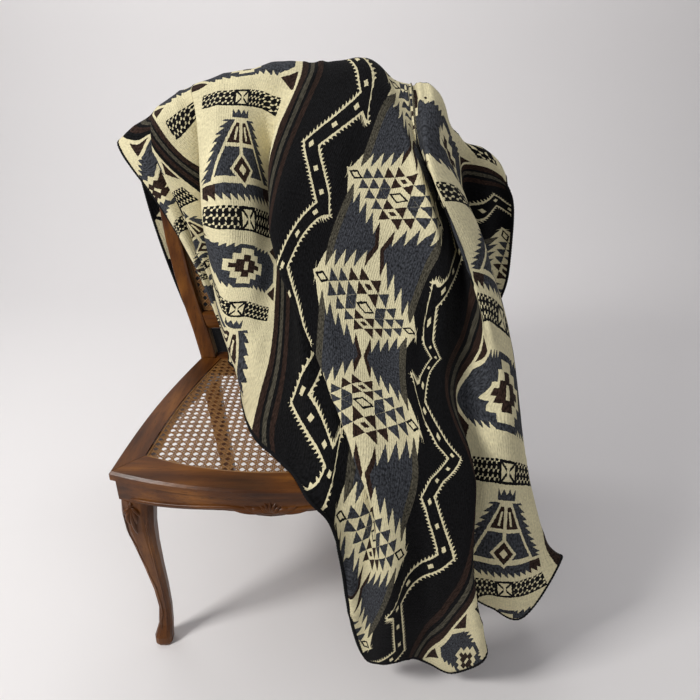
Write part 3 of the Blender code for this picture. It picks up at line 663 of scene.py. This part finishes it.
def diamonds(s, t, w):
    # Masks of one row of diamonds: cream ground, slate cells, brown cells, dark rings, cream hearts.
    halfWidth, halfHeight, crownWidth = lattice["halfWidth"], lattice["halfHeight"], lattice["crown"]
    v = t.around(design["repeat"])
    depth = abs(v)
    # the ground has long teeth along the weave and a solid tip on either side
    base = (w / (halfWidth * 1.5) * -1.0 + 1.0) * (halfHeight * 1.5)
    part = ((w - crownWidth) / lattice["toothPitch"]).fraction()
    tooth = (part / 0.18).step("MINIMUM", (part * -1.0 + 1.0) / 0.82) * lattice["toothLength"]
    crown = (w / crownWidth * -1.0 + 1.0) * lattice["crownLength"]
    reach = tooth * (w > crownWidth) + crown.step("MAXIMUM", 0.0)
    ground = (depth < base + reach) & (w < lattice["end"])
    tip = (w > 0.095) & (w < lattice["tip"]) & (depth < (w * -1.0 + lattice["tip"]) * 0.95) & (depth < 0.020)
    # cells run with the diamond's sides; the right half is the left one turned about the middle
    turned = v * ((s > 0.0) * -2.0 + 1.0)
    first = w * (-2.0 / halfWidth) - turned * (2.0 / halfHeight) + 2.0
    second = w * (-2.0 / halfWidth) + turned * (2.0 / halfHeight) + 2.0
    rows = {k: (first - (k + 0.5)).within(0.495) for k in range(-1, 4)}
    columns = {k: (second - (k + 0.5)).within(0.495) for k in range(-1, 4)}
    innerHalf = first.fraction() + second.fraction() > 0.99

    def cells(*places):
        masks = [rows[row] & columns[column] for row, column in places]
        return functools.reduce(Yarn.__or__, masks)

    def around(row, column, size):
        return (first - row).within(size) & (second - column).within(size)

    slate = innerHalf & cells((0, 0), (1, 0), (0, 1), (-1, 0), (-1, 1), (-1, 2), (0, -1), (1, -1))
    slate = slate | (cells((1, 1)) & ~innerHalf)
    brown = innerHalf & cells((2, 0), (0, 2), (2, -1), (3, -1), (-1, 3))
    brown = brown | around(3.5, 0.5, 0.22) | around(0.5, 3.5, 0.22)
    rings = around(-0.42, -0.42, 0.43) | around(2.0, 2.0, 0.50)
    hearts = around(-0.42, -0.42, 0.24) | around(2.0, 2.0, 0.33)
    inside = (w < lattice["end"]) & (depth < 0.095)
    return ground | tip, slate & inside, brown & inside, rings, hearts


def bowTies(t, w):
    # A brown hourglass between two diamonds.
    v = abs((t - design["repeat"] / 2).around(design["repeat"]))
    return (w - v * 0.36 < 0.0095) & (v < 0.054)


def checker(c, v, halfWidth, halfHeight):
    # A bar of slanting small checks with a framed cross in its middle.
    bar = (abs(c) < halfWidth) & (abs(v) < halfHeight)
    slant = c + v * 0.55
    checks = ((slant.saw(0.0100) - 0.5) * ((v + 0.05).saw(0.0120) - 0.5) > -0.05)
    framed = abs(c) < 0.0185
    frameLine = (abs(c) > 0.0140) | (abs(v) > halfHeight - 0.0045)
    cross = (abs(c) - abs(v)).within(0.0028) & (abs(c) > 0.0025)
    dark = (~framed & checks) | (framed & (frameLine | cross))
    return bar, bar & dark


figures = {
    "repeat": 0.41,         # a gable and a stepped cross take turns
    "gable": -0.115,        # the gable's middle along the weave
    "tooth": 0.0130,
    "toothLength": 0.011,
    "halfWidth": 0.0985,
    "bar": (0.080, 0.0180),
}


def creamFigures(c, t):
    # Slate, brown and black figures on a cream band; c is measured from its middle.
    pitch, length, half = figures["tooth"], figures["toothLength"], figures["repeat"] / 2
    v = (t - figures["gable"]).around(figures["repeat"])
    u = (t - figures["gable"] - half).around(figures["repeat"])
    side = abs(c)
    # gable: a toothed cap, two toothed rafters, panes between them and a toothed sill
    height = v + 0.062
    rafter = side - height * 0.50 - 0.010
    slate = (rafter > 0.0) & (rafter - v.saw(pitch) * length < 0.012) & (height > 0.006) & (height < 0.108)
    cap = (height > -0.016) & (height < 0.002) & (side < 0.019)
    slate = slate | (cap & (height + 0.016 > c.peak(0.0125) * 0.010))
    sill = (v - 0.059).within(0.0075) | ((v - 0.0665 - (c + 0.2).saw(pitch) * length < 0.0) & (v > 0.059))
    slate = slate | (sill & (side < 0.066))
    brown = sill & (side > 0.056) & (side < 0.080)
    bars = (height - 0.052).within(0.0032)
    panes = (rafter < -0.0055) & (height > 0.012) & (height < 0.103) & (side > 0.0035) & ~bars
    lower = height > 0.052
    slit = (side - height * 0.20 - 0.004).within(0.0022) & (height > 0.020) & (height < 0.044)
    slate = slate | (panes & lower)
    brown = brown | (panes & ~lower & ~slit)
    heart = side / 0.019 + abs(v - 0.030) / 0.021
    margin = heart < 1.35
    slate = slate & ~margin
    brown = (brown & ~margin) | (heart < 1.0)
    cream = heart < 0.42
    # stepped cross on a toothed slate block
    rise = abs(u)
    block = (side + rise * 0.9 < 0.108) & (rise < 0.052) & (side < 0.088)
    notch = (rise - (c + 0.3).saw(pitch) * length > 0.043) & (side > 0.018)

    def stepped(*steps):
        masks = [(side < width) & (rise < tall) for width, tall in steps]
        return functools.reduce(Yarn.__or__, masks)

    slate = slate | (block & ~notch & ~stepped((0.014, 0.042), (0.028, 0.029), (0.043, 0.014)))
    core = stepped((0.008, 0.027), (0.021, 0.015), (0.033, 0.0055))
    wedge = (side > 0.070) & (side < 0.094) & (abs(rise - 0.052) < (side - 0.070) * 0.80)
    brown = brown | (core & ~stepped((0.004, 0.010))) | wedge
    bar, dark = checker(c, (t - figures["gable"] - half / 2).around(half), *figures["bar"])
    return slate, brown, cream, bar, dark


wool = {"Roughness": 0.92, "Sheen Weight": 0.02, "Sheen Roughness": 0.5, "Specular IOR Level": 0.08}
hand = {
    "stray": (0.0032, 0.0034),     # how far yarn strays from the chart
    "heather": (3.4, 0.80),        # contrast of dark yarn, and of all yarn
    "cloud": 0.35,
    "rib": (0.0042, 0.0050),
    "relief": (0.75, 0.0020),
}


def weaveMaterial(name, reverse):
    material, tree, shader = newMaterial(name, wool)
    uv = tree.nodes.new("ShaderNodeUVMap")
    uv.uv_map = "weave"
    place = uv.outputs["UV"]
    split = tree.nodes.new("ShaderNodeSeparateXYZ")
    tree.links.new(place, split.inputs[0])
    s = Yarn(tree, split.outputs[0]) + (noiseOf(tree, 260.0, 2.0, place) - 0.5) * hand["stray"][0]
    t = Yarn(tree, split.outputs[1]) + (noiseOf(tree, 210.0, 2.0, place, (1.0, 1.3, 1.0)) - 0.5) * hand["stray"][1]
    gap = design["bandGap"]
    nearest = s.around(2 * gap)
    w = abs(nearest)
    border = s < design["leftBorder"]
    inner = ~border
    light = (w > design["stripes"]) | border
    colour = yarns["cream"]

    def lay(mask, yarn):
        nonlocal colour
        colour = choose(tree, mask, colour, yarns[yarn])

    stripe = (w * -1.0 + design["stripes"]) / (design["stripes"] - design["black"])
    for start, yarn in design["stripeYarns"]:
        lay(stripe > start, yarn)
    for band in ("black", "olive", "slate"):
        lay(w < design[band], band)
    lay(border, "cream")
    lines = zigzagLines(t, w) & inner
    lay(lines, "cream")
    lay(bowTies(t, w) & inner, "brown")
    ground, *marks = diamonds(nearest, t, w)
    ground = ground & inner
    lay(ground, "cream")
    for mask, yarn in zip(marks, ("slate", "brown", "black", "cream")):
        lay(mask & (w < 0.12) & inner, yarn)
    c = (s + gap * 3.0).around(2 * gap) * inner + (s - design["leftFigure"]) * border
    slate, brown, cream, bar, dark = creamFigures(c, t - border * (design["repeat"] / 2))
    onCream = (abs(c) < figures["halfWidth"]) & light
    for mask, yarn in ((slate, "slate"), (brown, "brown"), (cream | bar, "cream"), (dark, "black")):
        lay(mask & onCream, yarn)
    if reverse:  # the yarns change places
        colour = choose(tree, light | ground | lines, yarns["slate"], yarns["black"])
        lay((slate | brown) & onCream, "cream")
        lay(lines, "black")
    # heathered yarn: each stitch a little lighter or darker
    heather = noiseOf(tree, 300.0, 5.0, place, (1.0, 0.7, 1.0))
    cloud = noiseOf(tree, 24.0, 3.0, place)
    parts = tree.nodes.new("ShaderNodeSeparateColor")
    tree.links.new(colour, parts.inputs[0])
    strength = (Yarn(tree, parts.outputs[0]) < 0.3) * hand["heather"][0] + hand["heather"][1]
    shade = (heather - 0.5) * strength + (cloud - 0.5) * hand["cloud"] + 1.0
    mottled = tree.nodes.new("ShaderNodeVectorMath")
    mottled.operation = "SCALE"
    tree.links.new(colour, mottled.inputs[0])
    tree.links.new(shade.step("MAXIMUM", 0.25).socket, mottled.inputs["Scale"])
    tree.links.new(mottled.outputs[0], shader.inputs["Base Color"])
    ribs = (s.peak(hand["rib"][0]) * 0.5) & (t.peak(hand["rib"][1]) * 0.6 + 0.4)
    bumpFrom(tree, shader, ribs + heather * 1.2, *hand["relief"])
    return material


def fibreMaterial(name, levels, scale, first, second, relief):
    # One yarn or cane, mottled between two colours.
    material, tree, shader = newMaterial(name, levels)
    fibre = noiseOf(tree, scale, 3.0)
    tree.links.new(choose(tree, fibre, first, second), shader.inputs["Base Color"])
    bumpFrom(tree, shader, fibre, *relief)
    return material


frontWeave = weaveMaterial("alpaca weave, face", False)
backWeave = weaveMaterial("alpaca weave, reverse", True)
edgeYarn = fibreMaterial("black whipping yarn", {"Roughness": 0.9, "Specular IOR Level": 0.1}, 500.0,
                         (0.003, 0.003, 0.004), (0.011, 0.011, 0.012), (0.5, 0.001))


def makeSheet():
    rows, columns = sheetPoints.shape[:2]
    flat = sheetPoints.reshape(-1, 3)
    number = np.arange(rows * columns).reshape(rows, columns)
    corners = (number[:-1, :-1], number[1:, :-1], number[1:, 1:], number[:-1, 1:])
    faces = np.stack(corners, axis=2).reshape(-1, 4).tolist()
    piece = linkMesh("blanket_weave", flat, faces, frontWeave, backWeave, edgeYarn)
    layer = piece.data.uv_layers.new(name="weave")
    loops = np.empty(len(piece.data.loops), dtype=np.int32)
    piece.data.loops.foreach_get("vertex_index", loops)
    layer.data.foreach_set("uv", fine.reshape(-1, 5)[loops][:, 3:5].astype(np.float32).ravel())
    skin = piece.modifiers.new("cloth thickness", "SOLIDIFY")
    skin.thickness = blanket["thickness"]
    skin.offset = 0.0
    skin.material_offset = 1
    skin.material_offset_rim = 2
    return piece


stitches = {
    "radius": 0.0032,
    "pitch": 0.0065,
    "sides": 6,
    "step": 0.0022,
    "flatten": (1.35, 0.85),
    "twist": 0.0011,
}


def makeStitches():
    # Black yarn whipped over the blanket's edge all round.
    rows, columns = sheetPoints.shape[:2]
    normals = gridNormals(sheetPoints)
    ring = [(i, 0) for i in range(rows)] + [(rows - 1, j) for j in range(1, columns)]
    ring += [(i, columns - 1) for i in range(rows - 2, -1, -1)] + [(0, j) for j in range(columns - 2, 0, -1)]
    points = np.array([sheetPoints[i, j] for i, j in ring])
    faceOut = np.array([normals[i, j] for i, j in ring])
    closed = np.vstack((points, points[:1]))
    closedOut = np.vstack((faceOut, faceOut[:1]))
    lengths = np.concatenate(([0.0], np.cumsum(np.linalg.norm(np.diff(closed, axis=0), axis=1))))
    count = int(lengths[-1] / stitches["step"])
    places = lengths[-1] * np.arange(count) / count
    centre, outward = (np.stack([np.interp(places, lengths, row[:, k]) for k in range(3)], axis=1)
                       for row in (closed, closedOut))
    outward /= np.linalg.norm(outward, axis=1, keepdims=True)
    course = np.roll(centre, -2, axis=0) - np.roll(centre, 2, axis=0)
    course /= np.linalg.norm(course, axis=1, keepdims=True) + 1e-12
    side = np.cross(course, outward)
    side /= np.linalg.norm(side, axis=1, keepdims=True) + 1e-12
    swell = 0.78 + 0.22 * np.abs(np.sin(math.pi * places / stitches["pitch"]))
    sides = stitches["sides"]
    wide, deep = stitches["flatten"]
    reach = stitches["radius"] * swell[:, None]
    vertices = []
    for corner in range(sides):
        angle = 2 * math.pi * corner / sides
        vertices.append(centre + side * reach * math.cos(angle) * wide + outward * reach * math.sin(angle) * deep
                        + course * stitches["twist"] * math.sin(angle))
    vertices = np.stack(vertices, axis=1).reshape(-1, 3)
    faces = []
    for k in range(count):
        after = (k + 1) % count
        for corner in range(sides):
            following = (corner + 1) % sides
            faces.append((k * sides + corner, k * sides + following, after * sides + following, after * sides + corner))
    return linkMesh("edge_whipping", vertices, faces, edgeYarn)


sheet = makeSheet()
whipping = makeStitches()
for piece in (sheet, whipping):
    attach(piece, "root")
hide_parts("blanket")
print("blanket woven")


wood = {"Roughness": 0.34, "Coat Weight": 0.04, "Coat Roughness": 0.3, "Specular IOR Level": 0.22}
woodTones = ((0.30, (0.028, 0.0085, 0.0025)), (0.50, (0.100, 0.032, 0.006)), (0.72, (0.225, 0.082, 0.013)))
poreTone = (0.035, 0.011, 0.004)


def woodMaterial(name, grain):
    # Polished brown wood; grain is how the pattern is stretched along the piece.
    material, tree, shader = newMaterial(name, wood)
    streaks = noiseOf(tree, 9.0, 5.0, None, grain)
    cloud = noiseOf(tree, 7.0, 2.0)
    pores = noiseOf(tree, 60.0, 3.0, None, grain)
    ramp = tree.nodes.new("ShaderNodeValToRGB")
    stops = ramp.color_ramp.elements
    stops.new(0.5)
    for stop, (place, tone) in zip(stops, woodTones):
        stop.position = place
        stop.color = (*tone, 1.0)
    tree.links.new((streaks * 0.62 + cloud * 0.38).socket, ramp.inputs["Fac"])
    tree.links.new(choose(tree, (pores > 0.62) * 0.45, ramp.outputs["Color"], poreTone), shader.inputs["Base Color"])
    tree.links.new(((pores - 0.5) * 0.25 + wood["Roughness"]).socket, shader.inputs["Roughness"])
    bumpFrom(tree, shader, pores, 0.12, 0.0006)
    return material


def caneMaterial(name):
    material, tree, shader = newMaterial(name, {"Roughness": 0.45})
    fibre = noiseOf(tree, 120.0, 3.0)
    cloud = noiseOf(tree, 14.0, 3.0)
    colour = choose(tree, fibre, (0.15, 0.058, 0.014), (0.50, 0.250, 0.065))
    colour = choose(tree, cloud * 0.60, colour, (0.08, 0.029, 0.007))
    tree.links.new(colour, shader.inputs["Base Color"])
    bumpFrom(tree, shader, fibre, 0.25, 0.0005)
    return material


woodUpright = woodMaterial("walnut, grain upright", (6.0, 6.0, 0.7))
woodAcross = woodMaterial("walnut, grain across", (0.7, 6.0, 6.0))
woodDeep = woodMaterial("walnut, grain front to back", (6.0, 0.7, 6.0))
caneYarn = caneMaterial("rattan cane")

made = {
    woodUpright: ("leg_front_left", "leg_front_right", "post_left", "post_right"),
    woodAcross: ("rail_front", "rail_rear", "rail_crest", "rail_lower"),
    woodDeep: ("rail_left", "rail_right"),
    caneYarn: ("cane_seat", "cane_back"),
}
for material, names in made.items():
    for name in names:
        nodes[name].data.materials.clear()
        nodes[name].data.materials.append(material)


caning = {
    "pitch": 0.0150,      # hole to hole
    "pairGap": 0.0030,    # middle to middle of the two strands of a pair
    "width": 0.0023,
    "slantWidth": 0.0026,
    "thickness": 0.0010,
    "weave": 0.0006,      # how far strands ride over each other
    "splineRadius": 0.0016,
    "splineInset": 0.0035,
    "lifts": (0.0003, 0.0004, 0.0008),   # of the pairs, and of the strands that slant either way
}


def panelOutline(node):
    # A flat panel's plane, the two directions in it and its outline in them.
    mesh = nodes[node].data
    area = {}
    for polygon in mesh.polygons:
        key = tuple(round(v, 2) for v in polygon.normal)
        area[key] = area.get(key, 0.0) + polygon.area
    shown = (key for key in area if key[2] > 0.5 or key[1] < -0.5)
    facing = Vector(max(shown, key=area.get)).normalized()
    edges = {}
    for polygon in mesh.polygons:
        if polygon.normal.dot(facing) > 0.98:
            corners = [tuple(round(c, 5) for c in mesh.vertices[i].co) for i in polygon.vertices]
            for start, end in zip(corners, corners[1:] + corners[:1]):
                edges[(start, end)] = True
    follow = {start: end for start, end in edges if (end, start) not in edges}
    loop = [next(iter(follow))]
    while follow[loop[-1]] != loop[0]:
        loop.append(follow[loop[-1]])
    points = [Vector(place) for place in loop]
    sideways = Vector((1.0, 0.0, 0.0))
    upward = facing.cross(sideways).normalized()
    sideways = upward.cross(facing).normalized()
    origin = points[0]
    flat = [((p - origin).dot(sideways), (p - origin).dot(upward)) for p in points]
    return origin, sideways, upward, facing, flat


def insideSpans(flat, point, direction):
    # The stretches of a line that lie inside the outline.
    crossings = []
    for (ax, ay), (bx, by) in zip(flat, flat[1:] + flat[:1]):
        ex, ey = bx - ax, by - ay
        turn = direction[0] * ey - direction[1] * ex
        if abs(turn) < 1e-12:
            continue
        dx, dy = ax - point[0], ay - point[1]
        place = (dx * ey - dy * ex) / turn
        share = (dx * direction[1] - dy * direction[0]) / turn
        if 0.0 <= share < 1.0:
            crossings.append(place)
    crossings.sort()
    return [(crossings[i], crossings[i + 1]) for i in range(0, len(crossings) - 1, 2)]


def weaveCane(name, node, depth):
    # Six strands to a hole: a pair each way and two slanting ones.
    origin, sideways, upward, facing, flat = panelOutline(node)
    pitch = caning["pitch"]
    half = caning["thickness"] / 2
    us = [p[0] for p in flat]
    vs = [p[1] for p in flat]
    middle = ((min(us) + max(us)) / 2, (min(vs) + max(vs)) / 2)
    reach = int(max(max(us) - min(us), max(vs) - min(vs)) / pitch) + 2
    vertices, faces = [], []

    def addStrand(point, direction, step, width, lift, phase):
        across = (-direction[1], direction[0])
        for low, high in insideSpans(flat, point, direction):
            count = max(2, int(round((high - low) / step)))
            start = len(vertices)
            for k in range(count + 1):
                place = low + (high - low) * k / count
                height = lift + caning["weave"] * math.cos(math.pi * place / step + phase) - depth
                u = point[0] + direction[0] * place
                v = point[1] + direction[1] * place
                for shift, rise in ((-width / 2, -half * 0.3), (0.0, half), (width / 2, -half * 0.3), (0.0, -half)):
                    vertices.append(origin + sideways * (u + across[0] * shift) + upward * (v + across[1] * shift)
                                    + facing * (height + rise))
            for k in range(count):
                for corner in range(4):
                    following = (corner + 1) % 4
                    faces.append((start + 4 * k + corner, start + 4 * k + following,
                                  start + 4 * k + 4 + following, start + 4 * k + 4 + corner))

    gap = caning["pairGap"] / 2
    root = math.sqrt(0.5)
    width, slantWidth = caning["width"], caning["slantWidth"]
    low, middleLift, high = caning["lifts"]
    for k in range(-2 * reach, 2 * reach + 1):
        if abs(k) <= reach:
            for shift, phase in ((-gap, 0.0), (gap, math.pi)):
                place = k * pitch + shift
                addStrand((middle[0] + place, middle[1]), (0.0, 1.0), pitch / 2, width, -low, phase)
                addStrand((middle[0], middle[1] + place), (1.0, 0.0), pitch / 2, width, low, math.pi - phase)
        for turn, lift in ((1.0, high), (-1.0, middleLift)):
            addStrand((middle[0] + (k + 0.5) * pitch, middle[1]), (root, turn * root), pitch * root, slantWidth,
                      lift, 0.0)
    panel = linkMesh(name, vertices, faces, caneYarn)
    print(name, len(faces) * 2, "triangles")
    return panel


def laySpline(name, node, depth):
    # The strip that holds the cane in its groove.
    origin, sideways, upward, facing, flat = panelOutline(node)
    middle = (sum(p[0] for p in flat) / len(flat), sum(p[1] for p in flat) / len(flat))
    points = []
    for u, v in flat:
        shrink = 1.0 - caning["splineInset"] / max(0.01, math.hypot(u - middle[0], v - middle[1]))
        points.append(origin + sideways * (middle[0] + (u - middle[0]) * shrink)
                      + upward * (middle[1] + (v - middle[1]) * shrink) + facing * -depth)
    return tubeAlong(name, points, caning["splineRadius"], caneYarn, closed=True)


for node in ("cane_seat", "cane_back"):
    panel = weaveCane(node + "_strands", node, 0.0012)
    strip = laySpline(node + "_spline", node, 0.0006)
    for piece in (panel, strip):
        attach(piece, "root")
    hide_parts(node)


carving = {
    "bead": 0.0036,
    "beadRise": 0.0075,     # above the apron's lower edge
    "beadInset": 0.030,
    "legBead": 0.0016,
    "legBeadInset": 0.0085,
    "relief": 0.0060,
    "shell": (7, 0.024, 0.0090),    # petals, their length and width
    # angle, length, width, bend
    "apronLeaves": ((0.10, 0.042, 0.0115, 0.5), (0.50, 0.034, 0.0100, -0.7), (-0.02, 0.066, 0.0080, 0.25)),
    "kneeLeaves": ((-1.57, 0.062, 0.0100, 0.15), (-1.05, 0.040, 0.0085, -0.9), (-2.09, 0.040, 0.0085, 0.9),
                   (-0.45, 0.026, 0.0075, -1.2), (-2.69, 0.026, 0.0075, 1.2), (1.2, 0.012, 0.006, 0.8),
                   (1.9, 0.012, 0.006, -0.8)),
}


def frontHit(tree, x, z):
    # Where a line straight back meets a solid, and the normal there; None where it misses.
    return tree.ray_cast(Vector((x, -2.0, z)), Vector((0.0, 1.0, 0.0)))[:2]


def addPetal(vertices, faces, tree, start, angle, length, width, bend):
    # One raised leaf that lies on a solid's front; angle 0 points right, a quarter turn points up.
    steps, ring = 9, 5
    first = len(vertices)
    x, z = start
    for k in range(steps + 1):
        share = k / steps
        half = width * math.sin(math.pi * (0.04 + 0.93 * share) ** 0.8) ** 0.8 / 2
        swell = (0.35 + 0.65 * math.sin(math.pi * share)) * min(1.0, half / 0.003)
        for corner in range(ring):
            turn = math.pi * corner / (ring - 1)
            sidestep = half * math.cos(turn)
            rise = carving["relief"] * math.sin(turn) * swell
            place, normal = frontHit(tree, x - math.sin(angle) * sidestep, z + math.cos(angle) * sidestep)
            if place is None:
                place, normal = frontHit(tree, x, z)
            if place is None:
                place, normal = vertices[-1], Vector((0.0, -1.0, 0.0))
            vertices.append(place + normal * (rise - 0.0006))
        x += math.cos(angle) * length / steps
        z += math.sin(angle) * length / steps
        angle += bend / steps
    for k in range(steps):
        for corner in range(ring - 1):
            low = first + ring * k + corner
            faces.append((low, low + 1, low + ring + 1, low + ring))


def carveApron():
    tree = surfaceOf("rail_front")
    low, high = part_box("rail_front")
    inset, knots = carving["beadInset"], 90
    beadPoints = []
    for k in range(knots + 1):
        x = low[0] + inset + (high[0] - low[0] - 2 * inset) * k / knots
        z = low[2] + 0.0005
        while frontHit(tree, x, z)[0] is None and z < high[2]:
            z += 0.0005
        if 2 * k == knots:
            foot = z + 0.006
        place, normal = frontHit(tree, x, z + carving["beadRise"])
        beadPoints.append(place + normal * 0.0002)
    middle = (low[0] + high[0]) / 2
    vertices, faces = [], []
    petals, length, width = carving["shell"]
    for k in range(petals):
        angle = math.pi * (0.14 + 0.72 * k / (petals - 1))
        addPetal(vertices, faces, tree, (middle, foot), angle, length, width, (k - 3) * 0.10)
    for sign, base in ((-1.0, math.pi), (1.0, 0.0)):
        for angle, length, width, bend in carving["apronLeaves"]:
            addPetal(vertices, faces, tree, (middle + sign * 0.006, foot + 0.002),
                     base + sign * angle, length, width, sign * bend)
    return [linkMesh("apron_shell", vertices, faces, woodAcross),
            tubeAlong("apron_bead", beadPoints, carving["bead"], woodAcross)]


def carveLeg(node):
    tree = surfaceOf(node)
    corners = [v.co for v in nodes[node].data.vertices]
    low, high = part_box(node)
    outward = -1.0 if low[0] < -0.1 else 1.0
    pieces = []
    for side in (-1.0, 1.0):
        points = []
        for k in range(45):
            z = 0.035 + (high[2] - 0.045) * k / 44
            xs = [co.x for co in corners if abs(co.z - z) < 0.014]
            if not xs:
                continue
            x = min(xs) + carving["legBeadInset"] if side < 0 else max(xs) - carving["legBeadInset"]
            place, normal = frontHit(tree, x, z)
            if place is not None:
                points.append(place + normal * 0.0001)
        name = node + ("_bead_in" if side * outward < 0 else "_bead_out")
        pieces.append(tubeAlong(name, points, carving["legBead"], woodUpright))
    xs = [co.x for co in corners if co.z > high[2] - 0.05]
    start = ((min(xs) + max(xs)) / 2 + outward * 0.006, high[2] - 0.012)
    vertices, faces = [], []
    for leaf in carving["kneeLeaves"]:
        addPetal(vertices, faces, tree, start, *leaf)
    return pieces + [linkMesh(node + "_knee_leaves", vertices, faces, woodUpright)]


for piece in carveApron() + carveLeg("leg_front_left") + carveLeg("leg_front_right"):
    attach(piece, "root")
print("chair finished")


stage = {
    "paper": (0.86, 0.84, 0.84, 1.0),
    "bend": 1.2,            # radius between floor and wall
    "floorEnd": 1.6,
    "width": 7.0,
}
lamps = (  # name, place, aim, size, power, colour
    ("key_left", (-2.0, -1.3, 2.3), (0.0, 0.0, 0.6), (0.7, 0.7), 60.0, (1.0, 0.985, 0.96)),
    ("fill_front", (0.9, -2.9, 1.6), (0.0, 0.0, 0.5), (1.6, 1.2), 9.0, (1.0, 1.0, 1.0)),
    ("wall_wash", (-0.6, 1.0, 3.4), (-0.4, 2.6, 0.9), (3.0, 1.0), 38.0, (1.0, 1.0, 1.0)),
)


def makeStage():
    # A pale sweep: floor, a wide bend and the wall behind.
    bend, end, wide = stage["bend"], stage["floorEnd"], stage["width"]
    turns = [a * math.pi / 24 for a in range(1, 13)]
    profile = [(-6.0, 0.0), (end, 0.0)] + [(end + bend * math.sin(a), bend - bend * math.cos(a)) for a in turns]
    profile += [(end + bend, 6.0)]
    vertices = [(x, y, z - 0.0005) for y, z in profile for x in (-wide, wide)]
    faces = [(2 * i, 2 * i + 1, 2 * i + 3, 2 * i + 2) for i in range(len(profile) - 1)]
    material = newMaterial("pale paper", {"Roughness": 0.85, "Base Color": stage["paper"]})[0]
    linkMesh("studio_sweep", vertices, faces, material)


makeStage()
for name, place, aim, size, power, colour in lamps:
    lamp = bpy.data.lights.new(name, "AREA")
    lamp.shape = "RECTANGLE"
    lamp.size, lamp.size_y = size
    lamp.energy = power
    lamp.color = colour
    holder = linkPiece(name, lamp)
    holder.location = place
    holder.rotation_euler = (Vector(aim) - Vector(place)).to_track_quat("-Z", "Y").to_euler()
world = bpy.data.worlds.new("soft room")
bpy.context.scene.world = world
world.use_nodes = True
world.node_tree.nodes["Background"].inputs["Color"].default_value = (0.98, 0.97, 1.0, 1.0)
world.node_tree.nodes["Background"].inputs["Strength"].default_value = 0.26
bpy.context.scene.view_settings.view_transform = "Standard"
print("lights on")
